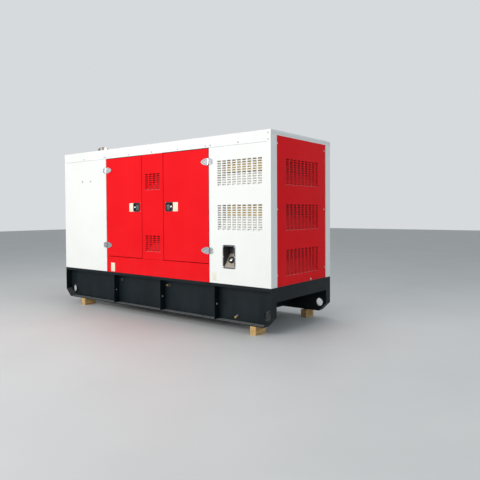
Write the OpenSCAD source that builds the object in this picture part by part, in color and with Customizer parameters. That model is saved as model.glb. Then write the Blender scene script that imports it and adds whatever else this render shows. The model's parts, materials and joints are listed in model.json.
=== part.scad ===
// Canopied generating set on channel rails and timber blocks.
// X runs along the set, the front faces -Y, and z = 0 is the floor.
// Places along the canopy are measured from its left end, seen from the front.

/* [Canopy] */
// Length of the canopy and of the base rails
canopy_l = 3470; // [3400:10:3700]
// Width of the canopy over its side panels
canopy_w = 1200; // [1160:10:1300]
// Height of the canopy above the base
canopy_h = 1555; // [1500:5:1650]
// Thickness of the folded sheet
sheet_t = 3; // [2:0.5:4]
// Depth of the folded edges behind a fixed panel
fold_d = 45; // [43:1:55]
// Gap between fixed panels and the roof flange
seam = 2; // [1:0.5:3]
// Thickness of the sound lining pads
lining_t = 38; // [25:1:40]

/* [Roof] */
// Depth of the roof cap's flange along the sides
roof_flange = 116; // [100:1:130]
// Depth of the roof cap's first step at the ends
roof_step = 25; // [15:1:30]
// Height of the whole stepped edge at the ends
roof_end_edge = 46; // [40:1:60]
// How far the second step and the end panels lie back
end_recess = 5; // [4:1:10]

/* [Side layout] */
// Width of the left door opening
left_door_w = 679; // [640:1:700]
// Width of the fixed panel between the doors
centre_w = 370; // [350:1:420]
// Width of the right door opening
right_door_w = 702; // [650:1:720]
// Width of the vented panel at the right
right_panel_w = 805; // [780:1:860]
// Height of the fixed sill under the doors
sill_h = 195; // [150:5:230]
// Depth of a door
door_d = 38; // [30:1:40]
// Gap round a door
door_gap = 8; // [7:0.5:10]
// Width of a corner post on the end face
post_w = 105; // [90:1:120]

/* [Punched vents] */
// Width of one slot
slot_w = 49; // [44:0.5:52]
// Height of one slot
slot_h = 15; // [10:0.5:16]
// Pitch of the slots along a row on the sides
slot_pitch = 66; // [62:0.5:70]
// Pitch of the slots along a row on the ends
end_slot_pitch = 74; // [70:0.5:78]
// Pitch of the rows
row_pitch = 24.6; // [23:0.1:26]
// Slots in a row of a large vent
vent_cols = 9; // [6:1:9]
// Rows in a large vent
vent_rows = 11; // [8:1:11]
// Slots in a row of a small vent
small_cols = 4; // [2:1:4]
// Rows in a small vent
small_rows = 8; // [5:1:8]
// Middle height of the top vents above the base
vent_high = 1160; // [1130:5:1180]
// Middle height of the vents at mid level
vent_mid = 696; // [680:5:720]
// Middle height of the lowest end vents
vent_low = 231; // [225:5:260]
// Middle height of the small top vent
small_vent_high = 1115; // [1050:5:1160]
// Middle height of the small low vent
small_vent_low = 386; // [340:5:420]
// Depth of the pocket behind a vent
pocket_d = 150; // [120:5:160]
// Margin of the pocket round the slots
pocket_margin = 12; // [8:1:16]
// Height of the air gap over the pocket's sloped floor
pocket_gap = 14; // [10:1:40]
// Thickness of the foam on a pocket's back
pocket_foam = 25; // [15:1:30]

/* [Filler] */
// Width of the filler frame
filler_w = 168; // [150:1:180]
// Height of the filler frame
filler_h = 246; // [220:1:260]
// Distance of the filler's middle from the door seam
filler_x = 274; // [260:1:300]
// Height of the filler's middle above the base
filler_z = 286; // [260:1:300]
// Depth of the filler recess
filler_d = 110; // [100:1:120]
// Radius of the filler frame's corners
filler_corner = 18; // [10:1:25]
// Height of the top of the recess's slope above the filler's middle
filler_rise = 25; // [0:1:30]
// Radius of the fuel cap
cap_r = 35; // [25:1:38]
// Height of the fuel cap with its neck
cap_h = 27; // [20:1:35]

/* [Doors] */
// Height of the lower hinges above the base
hinge_low = 340; // [300:5:400]
// Height of the upper hinges above the base
hinge_high = 1290; // [1200:5:1340]
// Length of a door leaf from the pin
leaf_l = 110; // [80:1:120]
// Length of a frame leaf from the pin
frame_leaf_l = 65; // [50:1:75]
// Thickness of a hinge leaf
leaf_t = 6; // [4:0.5:7]
// Height of a hinge
hinge_h = 78; // [60:1:90]
// Radius of a hinge knuckle
knuckle_r = 8; // [7:0.5:9]
// Radius of a hinge pin
pin_r = 4; // [3:0.5:5]
// Running clearance at pins and knuckles
run_gap = 0.3; // [0.2:0.1:0.5]
// Height of the locks above the base
lock_z = 816; // [700:5:900]
// Distance of a lock's middle from the free edge of its door
lock_inset = 90; // [80:1:110]
// Width of a lock dish
lock_w = 120; // [100:1:130]
// Height of a lock dish
lock_h = 108; // [100:1:120]
// Depth of a lock dish behind the door's face
dish_d = 16; // [14:1:20]
// Width of a paddle
paddle_w = 56; // [45:1:60]
// Height of a paddle
paddle_h = 70; // [60:1:75]
// Thickness of a paddle
paddle_t = 4; // [3:0.5:5]
// Radius of a key barrel
barrel_r = 9; // [7:0.5:11]

/* [Base] */
// Height of the base rails
base_h = 397; // [380:1:400]
// Distance of the rail's web behind its outer edge
rail_d = 85; // [75:1:95]
// Thickness of the rail's plates
plate_t = 8; // [6:1:10]
// Height of the lip under the rail's top flange
rail_lip = 34; // [25:1:45]
// Size of the chamfer at the rails' lower corners
rail_chamfer = 98; // [70:1:100]
// Places of the stiffeners from the left end
stiffener_x = [1040, 1887, 2727];
// Radius of the lifting holes
lift_r = 46; // [35:1:50]
// Distance of a lifting hole from the rail's end
lift_x = 92; // [90:1:110]
// Height of a lifting hole above the rail's bottom
lift_z = 102; // [96:1:110]
// Height of the beams across the ends
end_beam_h = 147; // [120:1:180]
// Distance of the tank from the ends
tank_inset = 450; // [400:10:550]
// Height of the fuel tank
tank_h = 340; // [300:5:345]
// Height of the timber blocks
timber_h = 88; // [80:1:120]
// Width of a timber block
timber_w = 70; // [60:5:100]
// Length of a timber block
timber_l = 170; // [150:5:250]
// How far a timber block stands out past the rail
timber_out = 15; // [0:1:16]
// Distance of the left blocks from the left end
timber_left = 413; // [380:1:450]
// Distance of the front right block from the right end
timber_right = 215; // [200:1:300]
// Distance of the back right block from the right end
timber_back_right = 265; // [200:1:300]

/* [Machine] */
// Height of the shaft above the deck
shaft_h = 640; // [620:5:700]
// Clearance kept between the machines and the vents' pockets
service_gap = 40; // [30:5:60]
// Radius of the generator's frame
gen_r = 290; // [250:5:310]
// Length of the generator
gen_l = 760; // [700:10:800]
// Place of the generator's drive end from the middle of the canopy
gen_x = 190; // [150:10:220]
// Width of the generator's terminal box
terminal_w = 300; // [250:10:350]
// Length of the gearbox
gearbox_l = 230; // [200:5:260]
// Radius of the gearbox round its large wheel
gearbox_r = 235; // [200:5:250]
// Length of the turbine
turbine_l = 762; // [700:2:800]
// Radius of the turbine's outlet flange
turbine_r = 250; // [220:5:270]
// Width of the intake housing
intake_w = 500; // [400:10:560]
// Width of a skid beam
skid_w = 60; // [50:5:80]
// Height of the skid beams
skid_h = 120; // [100:5:140]
// How far the skid stands out past the machines
skid_margin = 40; // [20:5:50]
// Height of the rubber mounts
mount_h = 40; // [30:1:50]
// Distance of the skid beams from the middle
skid_y = 280; // [250:5:300]
// Radius of the exhaust duct behind its cone
duct_r = 130; // [100:5:150]
// Radius of the exhaust silencer
silencer_r = 210; // [190:5:220]
// Height of the silencer's top above the shaft
silencer_up = 500; // [450:10:560]
// Distance of the outlet pipe from the left end
outlet_x = 330; // [310:5:400]
// Distance of the outlet pipe from the middle, towards the front
outlet_y = 200; // [150:5:240]
// Radius of the outlet pipe on the roof
outlet_r = 74; // [60:1:80]
// Height of the outlet pipe above the roof
outlet_h = 130; // [100:5:180]
// Depth of the control cabinet
cabinet_l = 340; // [280:10:360]
// Height of the control cabinet
cabinet_h = 1110; // [900:10:1150]
// Length, width and height of a battery
battery = [180, 210, 200];

/* [Hidden] */
$fn = 48;

// Overlap of solids that are fused into one
weld = 0.5;
half_l = canopy_l / 2;
half_w = canopy_w / 2;
deck_z = timber_h + base_h;
roof_z = deck_z + canopy_h;
flange_z = roof_z - roof_flange;
panel_h = flange_z - seam - deck_z;
rail_w = rail_d + plate_t;
beam_flange = 60;
seam_1 = canopy_l - right_panel_w - right_door_w - centre_w - left_door_w;
seam_2 = seam_1 + left_door_w;
seam_3 = seam_2 + centre_w;
seam_4 = seam_3 + right_door_w;
sill_z = deck_z + sill_h;
left_lock_x = seam_2 - door_gap / 2 - lock_inset;
right_lock_x = seam_3 + door_gap / 2 + lock_inset;
door_z = sill_z + door_gap;
door_h = flange_z - door_gap - door_z;
fixed_edge = door_gap / 2;
big_vent_w = (vent_cols - 1) * slot_pitch + slot_w;
end_vent_w = (vent_cols - 1) * end_slot_pitch + slot_w;
big_vent_h = (vent_rows - 1) * row_pitch + slot_h;
small_vent_w = (small_cols - 1) * slot_pitch + slot_w;
small_vent_h = (small_rows - 1) * row_pitch + slot_h;
big_vent_x = (right_panel_w - big_vent_w) * 0.54;
recess_w = filler_w - 6 * sheet_t - 2 * seam;
recess_h = filler_h - 6 * sheet_t - 2 * seam;
end_panel_w = canopy_w - 2 * post_w - 2 * seam;
end_panel_h = canopy_h - roof_end_edge;
pin_y = -knuckle_r - 1;
leaf_rim = 5;
leaf_recess = 2;
dish_lip = 8;
dish_rim = 2.5;
dish_wall = 2;
lug_w = 4;
lug_h = 12;
paddle_pin_r = 2.5;
paddle_pin_z = 32;
paddle_inset = 17;
paddle_x = paddle_inset - lock_w / 2;
barrel_inset = 26;
barrel_x = lock_w / 2 - barrel_inset;
shaft_z = deck_z + shaft_h;
skid_z = deck_z + mount_h;
skid_top = skid_z + skid_h;
skid_out = skid_y + skid_w / 2;
turbine_x = gen_x - gearbox_l;
turbine_end = turbine_x - turbine_l;
skid_left = turbine_end - skid_margin;
skid_l = gen_x + gen_l + skid_margin - skid_left;
pocket_room = end_recess + sheet_t + pocket_d + service_gap;
silencer_x = pocket_room + silencer_r - half_l;
silencer_top = shaft_z + silencer_up;
spigot_l = 30;
joint_gap = 0.5;
duct_l = turbine_end - silencer_x - silencer_r - spigot_l - 2 * joint_gap;
battery_y = filler_d + sheet_t + service_gap / 2 - half_w;
cabinet_x = half_l - pocket_room - cabinet_l;
cabinet_y = battery_y + battery[1] + service_gap / 2;
cabinet_w = half_w - sheet_t - pocket_d - service_gap - cabinet_y;
outlet_place = [outlet_x - half_l, -outlet_y];
saddle_r = turbine_r * 0.9;
cradle_t = turbine_r * 0.12;
red = "#e8262b";
white = "#f4f4f0";
dark = "#20242a";
steel = "#9aa0a4";
foam = "#8d7c62";

// Places and radii of the turbine's half section, as parts of its length and
// of its outlet flange's radius, from the gearbox outwards
turbine_shape = [
    [0, 0], [0.44, 0], [0.44, 0.08], [0.64, 0.09], [0.64, 0.12], [0.48, 0.13],
    [0.52, 0.2], [0.84, 0.22], [0.84, 0.25], [0.66, 0.26], [0.72, 0.39], [0.9, 0.41],
    [0.9, 0.435], [0.78, 0.45], [0.94, 0.525], [0.94, 0.71], [0.78, 0.775], [0.94, 0.79],
    [0.94, 0.815], [0.8, 0.83], [0.86, 0.96], [1, 0.97], [1, 1], [0, 1]
];

// Place along X of a distance from the left end
function at_x(d) = d - half_l;

// Points of a rail's outline, t inside its edge
function rail_outline(t) = let (k = t * (sqrt(2) - 1), c = rail_chamfer) [
    [-half_l + t, base_h - t],
    [half_l - t, base_h - t],
    [half_l - t, c + k],
    [half_l - c - k, t],
    [-half_l + c + k, t],
    [-half_l + t, c + k]
];

// A plate t thick, drawn in X and Z, with its outer face at y = 0
module upright(t) {
    translate([0, t, 0])
        rotate([90, 0, 0])
            linear_extrude(t)
                children();
}

// A profile drawn in Y and Z, run w along X
module along_x(w) {
    rotate([90, 0, 90])
        linear_extrude(w)
            children();
}

// A radius and length profile turned about the X axis
module turned_x() {
    rotate([0, 90, 0])
        rotate_extrude()
            children();
}

// A rectangle with round corners, centred
module round_rect(w, h, r) {
    square([w - 2 * r, h], center = true);
    square([w, h - 2 * r], center = true);
    for (i = [-1, 1], j = [-1, 1])
        translate([i * (w / 2 - r), j * (h / 2 - r)])
            circle(r);
}

// The slots of a vent, centred
module slots(cols, rows, pitch) {
    for (i = [0 : cols - 1], j = [0 : rows - 1])
        translate([(i - (cols - 1) / 2) * pitch, (j - (rows - 1) / 2) * row_pitch])
            square([slot_w, slot_h], center = true);
}

// A folded panel with its front at y = 0: the children are cut through it,
// and its top and bottom folds stop short of the ends by short_l and short_r
module panel(w, h, fold_l = true, fold_r = true, depth = fold_d) {
    short_l = fold_l ? 0 : fold_d + seam;
    short_r = fold_r ? 0 : fold_d + seam;
    fold = depth - sheet_t + weld;
    upright(sheet_t)
        difference() {
            square([w, h]);
            children();
        }
    for (z = [0, h - sheet_t])
        translate([short_l, sheet_t - weld, z])
            cube([w - short_l - short_r, fold, sheet_t]);
    if (fold_l)
        translate([0, sheet_t - weld, 0])
            cube([sheet_t, fold, h]);
    if (fold_r)
        translate([w - sheet_t, sheet_t - weld, 0])
            cube([sheet_t, fold, h]);
}

// The pocket behind a vent w by h, centred on the vent, with its mouth at y = 0:
// a sloped floor that rises to the back, two cheeks, a top and an upper back
module vent_pocket(w, h) {
    half_h = h / 2 + pocket_margin;
    full_w = w + 2 * pocket_margin;
    lip = sheet_t * 1.5;
    floor_pts = [[0, -half_h], [pocket_d, 0], [pocket_d, lip], [0, lip - half_h]];
    side_pts = [[0, -half_h], [pocket_d, 0], [pocket_d, half_h], [0, half_h]];
    translate([-full_w / 2, 0, 0]) {
        along_x(full_w)
            polygon(floor_pts);
        for (x = [0, full_w - sheet_t])
            translate([x, 0, 0])
                along_x(sheet_t)
                    polygon(side_pts);
        translate([0, 0, half_h - sheet_t])
            cube([full_w, pocket_d, sheet_t]);
        translate([0, pocket_d - sheet_t, pocket_gap])
            cube([full_w, sheet_t, half_h - pocket_gap]);
    }
}

// The foam pad on the upper back of a pocket
module pocket_pad(w, h) {
    half_h = h / 2 + pocket_margin;
    inner_w = w + 2 * pocket_margin - 2 * sheet_t - 2 * run_gap;
    translate([-inner_w / 2, pocket_d - sheet_t - pocket_foam, pocket_gap])
        cube([inner_w, pocket_foam, half_h - sheet_t - run_gap - pocket_gap]);
}

// Places something drawn for the front face, from the left end and the deck
module on_front(x, z) {
    translate([at_x(x), -half_w, z])
        children();
}

// Places something drawn for a front face on the right or left end
module on_end(side) {
    translate([side * half_l, 0, 0])
        rotate([0, 0, side * 90])
            children();
}

// Both sides of the canopy
module both_sides() {
    children();
    mirror([0, 1, 0])
        children();
}

// The two blocks under one rail, the right one at a distance from the right end
module timber_pair(right) {
    for (x = [timber_left, canopy_l - right])
        translate([at_x(x) - timber_w / 2, -half_w - timber_out, 0])
            cube([timber_w, timber_l, timber_h]);
}

// Timber blocks under the rails
module timber_blocks() {
    color("#b9a46a") {
        timber_pair(timber_right);
        mirror([0, 1, 0])
            timber_pair(timber_back_right);
    }
}

// A collar round a lifting hole, on the outer side of the web
module lift_collar() {
    translate([0, rail_d + weld, lift_z])
        rotate([90, 0, 0])
            cylinder(r = lift_r + plate_t, h = 18);
}

// One base rail: a channel open outwards, with its flange round the whole outline
module rail() {
    translate([0, -half_w, timber_h])
        difference() {
            union() {
                upright(rail_w)
                    difference() {
                        polygon(rail_outline(0));
                        polygon(rail_outline(plate_t));
                    }
                translate([0, rail_d, 0])
                    upright(plate_t)
                        polygon(rail_outline(plate_t / 2));
                translate([-half_l, 0, base_h - rail_lip])
                    cube([canopy_l, plate_t - 2, rail_lip]);
                for (x = stiffener_x)
                    translate([at_x(x), 2, plate_t / 2])
                        cube([plate_t, rail_d, base_h - plate_t]);
                for (side = [-1, 1])
                    translate([side * (half_l - lift_x), 0, 0])
                        lift_collar();
            }
            for (side = [-1, 1])
                translate([side * (half_l - lift_x), rail_w + 1, lift_z])
                    rotate([90, 0, 0])
                        cylinder(r = lift_r, h = rail_w + 2);
        }
}

module front_rail() {
    color(dark)
        rail();
}

module back_rail() {
    color(dark)
        mirror([0, 1, 0])
            rail();
}

// Channels across the ends, between the rails
module end_beams() {
    span = canopy_w - 2 * rail_w;
    color(dark)
        for (side = [-1, 1])
            on_end(side)
                translate([-span / 2, 0, deck_z - end_beam_h])
                    difference() {
                        cube([span, beam_flange, end_beam_h]);
                        translate([-1, plate_t, plate_t])
                            cube([span + 2, beam_flange, end_beam_h - 2 * plate_t]);
                    }
}

// Fuel tank between the rails, closed by the deck
module fuel_tank() {
    span = canopy_w - 2 * rail_w;
    long = canopy_l - 2 * tank_inset;
    wall = plate_t / 2;
    color(dark)
        translate([-long / 2, -span / 2, deck_z - plate_t - tank_h])
            difference() {
                cube([long, span, tank_h]);
                translate([wall, wall, wall])
                    cube([long - 2 * wall, span - 2 * wall, tank_h]);
            }
}

// Deck plate between the rails and the end beams
module deck() {
    span = canopy_w - 2 * rail_w;
    long = canopy_l - 2 * beam_flange;
    color(dark)
        translate([-long / 2, -span / 2, deck_z - plate_t])
            cube([long, span, plate_t]);
}

// Corner posts: channels that show on the ends
module corner_posts() {
    t = sheet_t;
    color(white)
        for (side = [-1, 1])
            both_sides()
                on_end(side)
                    translate([-half_w + t, 0, deck_z])
                        linear_extrude(end_panel_h)
                            difference() {
                                square([post_w - t, fold_d]);
                                translate([t, t])
                                    square([post_w - 3 * t, fold_d]);
                            }
}

// Posts behind the seams beside the doors
module door_posts() {
    post = [60, 40];
    height = roof_z - sheet_t - deck_z;
    color(dark)
        both_sides()
            for (x = [seam_1, seam_2, seam_3, seam_4])
                on_front(x, deck_z)
                    translate([0, fold_d + post[1] / 2, 0])
                        linear_extrude(height)
                            difference() {
                                square(post, center = true);
                                square([post[0] - 2 * sheet_t, post[1] - 2 * sheet_t], center = true);
                            }
}

// Angles behind the roof flange, above the doors
module top_rails() {
    long = canopy_l - 2 * (fold_d + seam);
    color(dark)
        both_sides()
            translate([-long / 2, -half_w, 0])
                along_x(long)
                    polygon([
                        [sheet_t, flange_z],
                        [fold_d, flange_z],
                        [fold_d, roof_z - sheet_t],
                        [fold_d - sheet_t, roof_z - sheet_t],
                        [fold_d - sheet_t, flange_z + sheet_t],
                        [sheet_t, flange_z + sheet_t]
                    ]);
}

// Roof cap with deep side flanges and stepped ends
module roof() {
    color(white)
        difference() {
            union() {
                translate([-half_l, -half_w, roof_z - sheet_t])
                    cube([canopy_l, canopy_w, sheet_t]);
                both_sides()
                    translate([-half_l, -half_w, flange_z])
                        cube([canopy_l, sheet_t, roof_flange]);
                for (side = [-1, 1])
                    on_end(side)
                        roof_end_edge_profile();
            }
            translate([outlet_place[0], outlet_place[1], roof_z - 2 * sheet_t])
                cylinder(r = outlet_r + seam, h = 3 * sheet_t);
        }
}

// The stepped edge at one end of the roof
module roof_end_edge_profile() {
    t = sheet_t;
    translate([-half_w + weld, 0, 0])
        along_x(canopy_w - 2 * weld)
            polygon([
                [0, roof_z - weld],
                [0, roof_z - roof_step],
                [end_recess, roof_z - roof_step],
                [end_recess, roof_z - roof_end_edge],
                [end_recess + t, roof_z - roof_end_edge],
                [end_recess + t, roof_z - roof_step + t],
                [t, roof_z - roof_step + t],
                [t, roof_z - weld]
            ]);
}

// Windows in a lining pad round the pockets of a vent
module pocket_window(w, h) {
    square([w + 2 * pocket_margin + 2 * seam, h + 2 * pocket_margin + 2 * seam], center = true);
}

// Sound lining behind the side panels and the end panels
module linings() {
    edge = fold_d + 2 * seam;
    color(foam) {
        both_sides() {
            on_front(0, deck_z)
                translate([0, sheet_t, 0])
                    upright(lining_t)
                        translate([edge, edge])
                            square([seam_1 - 2 * edge, panel_h - 2 * edge]);
        }
        on_front(seam_4, deck_z)
            translate([0, sheet_t, 0])
                upright(lining_t)
                    difference() {
                        right_pad(edge);
                        translate([filler_x, filler_z])
                            square([filler_w, filler_h], center = true);
                    }
        mirror([0, 1, 0])
            on_front(seam_4, deck_z)
                translate([0, sheet_t, 0])
                    upright(lining_t)
                        right_pad(edge);
        for (side = [-1, 1])
            on_end(side)
                translate([0, end_recess + sheet_t, deck_z])
                    upright(lining_t - end_recess)
                        difference() {
                            translate([edge - end_panel_w / 2, edge])
                                square([end_panel_w - 2 * edge, end_panel_h - 2 * edge]);
                            for (z = [vent_low, vent_mid, vent_high])
                                translate([0, z])
                                    pocket_window(end_vent_w, big_vent_h);
                        }
    }
}

// The pad behind a right side panel
module right_pad(edge) {
    difference() {
        translate([edge, edge])
            square([right_panel_w - 2 * edge, panel_h - 2 * edge]);
        for (z = [vent_mid, vent_high])
            translate([big_vent_x + big_vent_w / 2, z])
                pocket_window(big_vent_w, big_vent_h);
    }
}

// Plain side panel at the left end
module side_left_panel() {
    on_front(0, deck_z)
        panel(seam_1 - fixed_edge, panel_h, fold_l = false);
}

// Side panel at the right end with two vents
module side_right_panel() {
    on_front(seam_4 + fixed_edge, deck_z)
        panel(right_panel_w - fixed_edge, panel_h, fold_r = false) {
            for (z = [vent_mid, vent_high])
                translate([big_vent_x + big_vent_w / 2 - fixed_edge, z])
                    slots(vent_cols, vent_rows, slot_pitch);
            children();
        }
}

// Fixed panel between the doors with two small vents
module side_centre_panel() {
    w = centre_w - 2 * fixed_edge;
    on_front(seam_2 + fixed_edge, sill_z + seam)
        panel(w, panel_h - sill_h - seam)
            for (z = [small_vent_low, small_vent_high])
                translate([w / 2, z - sill_h - seam])
                    slots(small_cols, small_rows, slot_pitch);
}

// Fixed sill under the doors
module side_sill() {
    on_front(seam_1, deck_z)
        panel(seam_4 - seam_1, sill_h);
}

module front_left_panel() {
    color(white)
        side_left_panel();
}

module front_right_panel() {
    color(white)
        side_right_panel()
            translate([filler_x - fixed_edge, filler_z])
                square([filler_w - 4 * sheet_t, filler_h - 4 * sheet_t], center = true);
}

module front_centre_panel() {
    color(red)
        side_centre_panel();
}

module front_sill() {
    color(red)
        side_sill();
}

module back_white_panels() {
    color(white)
        mirror([0, 1, 0]) {
            side_left_panel();
            side_right_panel();
        }
}

module back_red_panels() {
    color(red)
        mirror([0, 1, 0]) {
            side_centre_panel();
            side_sill();
        }
}

// Red panel of one end with three vents
module end_panel() {
    translate([-end_panel_w / 2, end_recess, deck_z])
        panel(end_panel_w, end_panel_h, depth = fold_d - end_recess)
            for (z = [vent_low, vent_mid, vent_high])
                translate([end_panel_w / 2, z])
                    slots(vent_cols, vent_rows, end_slot_pitch);
}

module left_end_panel() {
    color(red)
        on_end(-1)
            end_panel();
}

module right_end_panel() {
    color(red)
        on_end(1)
            end_panel();
}

// Places something behind the large vents of the side panels
module behind_big_vents() {
    both_sides()
        for (z = [vent_mid, vent_high])
            on_front(seam_4 + big_vent_x + big_vent_w / 2, deck_z + z)
                translate([0, sheet_t, 0])
                    children();
}

// Pockets behind the vents of the side panels
module white_vent_pockets() {
    color(white)
        behind_big_vents()
            vent_pocket(big_vent_w, big_vent_h);
}

// Foam on the backs of the side panels' pockets
module vent_foam() {
    color(foam)
        behind_big_vents()
            pocket_pad(big_vent_w, big_vent_h);
}

// Places something behind the small vents of the centre panels
module behind_small_vents() {
    both_sides()
        for (z = [small_vent_low, small_vent_high])
            on_front((seam_2 + seam_3) / 2, deck_z + z)
                translate([0, sheet_t, 0])
                    children();
}

// Places something behind the vents of the end panels
module behind_end_vents() {
    for (side = [-1, 1], z = [vent_low, vent_mid, vent_high])
        on_end(side)
            translate([0, end_recess + sheet_t, deck_z + z])
                children();
}

// Pockets behind the vents of the centre panels and the end panels
module red_vent_pockets() {
    color(red) {
        behind_small_vents()
            vent_pocket(small_vent_w, small_vent_h);
        behind_end_vents()
            vent_pocket(end_vent_w, big_vent_h);
    }
}

// Dark foam on the backs of the red pockets
module red_vent_foam() {
    color("#4a3a2c") {
        behind_small_vents()
            pocket_pad(small_vent_w, small_vent_h);
        behind_end_vents()
            pocket_pad(end_vent_w, big_vent_h);
    }
}

// Filler recess: a framed box, open to the front
module filler_recess() {
    t = sheet_t;
    color("#26282a")
        on_front(seam_4 + filler_x, deck_z + filler_z) {
            translate([0, -t, 0])
                upright(t)
                    difference() {
                        round_rect(filler_w, filler_h, filler_corner);
                        square([recess_w, recess_h], center = true);
                    }
            difference() {
                translate([-recess_w / 2 - t, -weld, -recess_h / 2 - t])
                    cube([recess_w + 2 * t, filler_d + t + weld, recess_h + 2 * t]);
                translate([-recess_w / 2, -2 * weld, -recess_h / 2])
                    cube([recess_w, filler_d + 2 * weld, recess_h]);
            }
        }
}

// Sloped back plate of the recess, from the foot of its mouth to its back wall
module filler_back() {
    color("#c2a878")
        on_front(seam_4 + filler_x, deck_z + filler_z)
            translate([-recess_w / 2 + run_gap, 0, 0])
                along_x(recess_w - 2 * run_gap)
                    polygon([
                        [sheet_t, -recess_h / 2],
                        [sheet_t * 3, -recess_h / 2],
                        [filler_d, filler_rise - sheet_t * 2],
                        [filler_d, filler_rise]
                    ]);
}

// Fuel cap on a neck that stands on the slope
module fuel_cap() {
    run = filler_d - sheet_t;
    rise = recess_h / 2 + filler_rise;
    color("#101214")
        on_front(seam_4 + filler_x, deck_z + filler_z)
            translate([0, sheet_t + run / 2, filler_rise - rise / 2])
                rotate([atan2(rise, run), 0, 0]) {
                    cylinder(r = cap_r * 0.8, h = cap_h / 2);
                    translate([0, 0, cap_h / 2 - weld])
                        cylinder(r = cap_r, h = cap_h / 2);
                }
}

// Outlet pipe: up from the silencer, across, and out of the roof to a slanted mouth
module roof_outlet() {
    mouth_turn = -36;
    mouth_slope = 35;
    flange_w = outlet_r / 3;
    bend_z = silencer_top + outlet_r + 20;
    dx = outlet_place[0] - silencer_x;
    dy = outlet_place[1];
    color(steel)
        difference() {
            union() {
                translate([silencer_x, 0, silencer_top])
                    cylinder(r = outlet_r, h = bend_z + outlet_r - silencer_top);
                translate([silencer_x, 0, silencer_top])
                    cylinder(r = outlet_r + flange_w, h = 4 * sheet_t);
                translate([silencer_x, 0, bend_z])
                    rotate([0, 90, atan2(dy, dx)])
                        cylinder(r = outlet_r * 0.9, h = norm([dx, dy]));
                translate([outlet_place[0], outlet_place[1], bend_z - outlet_r])
                    cylinder(r = outlet_r, h = roof_z + outlet_h + outlet_r - bend_z);
                translate([outlet_place[0], outlet_place[1], roof_z])
                    cylinder(r = outlet_r + flange_w, h = sheet_t);
            }
            translate([outlet_place[0], outlet_place[1], roof_z - roof_flange])
                cylinder(r = outlet_r - sheet_t, h = roof_flange + outlet_h + 1);
            translate([outlet_place[0], outlet_place[1], roof_z + outlet_h])
                rotate([0, 0, mouth_turn])
                    translate([-outlet_r, 0, 0])
                        rotate([0, mouth_slope, 0])
                            translate([-outlet_r, -outlet_r - 1, 0])
                                cube([4 * outlet_r, 2 * outlet_r + 2, 2 * outlet_r]);
        }
}

// The pointed outline of a door leaf, drawn in X and Z from the pin towards +X
module leaf_outline() {
    steps = 12;
    half = hinge_h / 2;
    upper = [for (i = [0 : steps]) let (s = i / steps)
        [s * leaf_l, half * pow(1 - s * s, 0.6)]];
    lower = [for (i = [steps - 1 : -1 : 0]) let (s = i / steps)
        [s * leaf_l, -half * pow(1 - s * s, 0.6)]];
    polygon(concat(upper, lower));
}

// The blunt, notched outline of a frame leaf, drawn like the door leaf's
module frame_leaf_outline() {
    half = hinge_h / 2;
    polygon([
        [0, half],
        [frame_leaf_l * 0.5, half * 0.88],
        [frame_leaf_l * 0.95, half * 0.4],
        [frame_leaf_l * 0.68, 0],
        [frame_leaf_l, -half * 0.44],
        [frame_leaf_l * 0.5, -half * 0.88],
        [0, -half]
    ]);
}

// A leaf plate with a recess inside its rim, cut back to clear the knuckles
module leaf_plate() {
    shrink = 0.72;
    translate([0, -leaf_t, 0])
        difference() {
            upright(leaf_t)
                difference() {
                    children();
                    translate([-1, -hinge_h])
                        square([knuckle_r + 2, 2 * hinge_h]);
                }
            translate([(knuckle_r + leaf_rim) * (1 - shrink) + leaf_rim, -1, 0])
                upright(leaf_recess + 1)
                    scale(shrink)
                        difference() {
                            children();
                            translate([-1, -hinge_h])
                                square([knuckle_r + leaf_rim + 1, 2 * hinge_h]);
                        }
        }
}

// Knuckles of a leaf from z_from to z_to, with a web to the leaf plate
module knuckle(z_from, z_to, bore) {
    translate([0, pin_y, z_from])
        difference() {
            union() {
                cylinder(r = knuckle_r, h = z_to - z_from);
                translate([0, -pin_y - leaf_t, 0])
                    cube([knuckle_r + 4, leaf_t, z_to - z_from]);
                cube([knuckle_r, -pin_y - weld, z_to - z_from]);
            }
            translate([0, 0, -1])
                cylinder(r = bore, h = z_to - z_from + 2);
        }
}

// The leaf on the door, at the pin's middle, running towards +X
module door_leaf() {
    third = hinge_h / 6;
    leaf_plate()
        leaf_outline();
    knuckle(run_gap - third, third - run_gap, pin_r + run_gap);
}

// The leaf on the frame with the pin, running towards -X
module frame_leaf() {
    third = hinge_h / 6;
    top = hinge_h / 2 - leaf_t;
    mirror([1, 0, 0]) {
        leaf_plate()
            frame_leaf_outline();
        knuckle(third, top, pin_r - weld);
        knuckle(-top, -third, pin_r - weld);
    }
    translate([0, pin_y, -top])
        cylinder(r = pin_r, h = 2 * top);
}

// Places the two hinges of a door on its pin line
module hinge_places(x, flip) {
    for (z = [hinge_low, hinge_high])
        on_front(x, deck_z + z)
            mirror([flip ? 1 : 0, 0, 0])
                children();
}

// A door as a folded tray with a hole for its lock dish
module door_sheet(w) {
    panel(w - door_gap, door_h, depth = door_d)
        children();
}

// The hole for a lock dish in a door
module dish_hole() {
    square([lock_w - 2 * dish_lip, lock_h - 2 * dish_lip], center = true);
}

// A lock dish with its mouth at the door's face, paddle side towards -X
module lock_dish() {
    inner = [lock_w - 2 * dish_lip - 2 * run_gap, lock_h - 2 * dish_lip - 2 * run_gap];
    difference() {
        union() {
            translate([0, -dish_rim, 0])
                upright(dish_rim)
                    round_rect(lock_w, lock_h, 2 * sheet_t);
            translate([0, -weld, 0])
                upright(dish_d + weld)
                    square(inner, center = true);
        }
        translate([-inner[0] / 2 + dish_wall, -dish_rim, -inner[1] / 2 + dish_wall])
            cube([inner[0] - 2 * dish_wall, dish_d + dish_rim - dish_wall, inner[1] - 2 * dish_wall]);
    }
    translate([barrel_x, dish_d - 1, 0])
        rotate([90, 0, 0])
            cylinder(r = barrel_r, h = dish_d);
    paddle_lugs();
}

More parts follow.
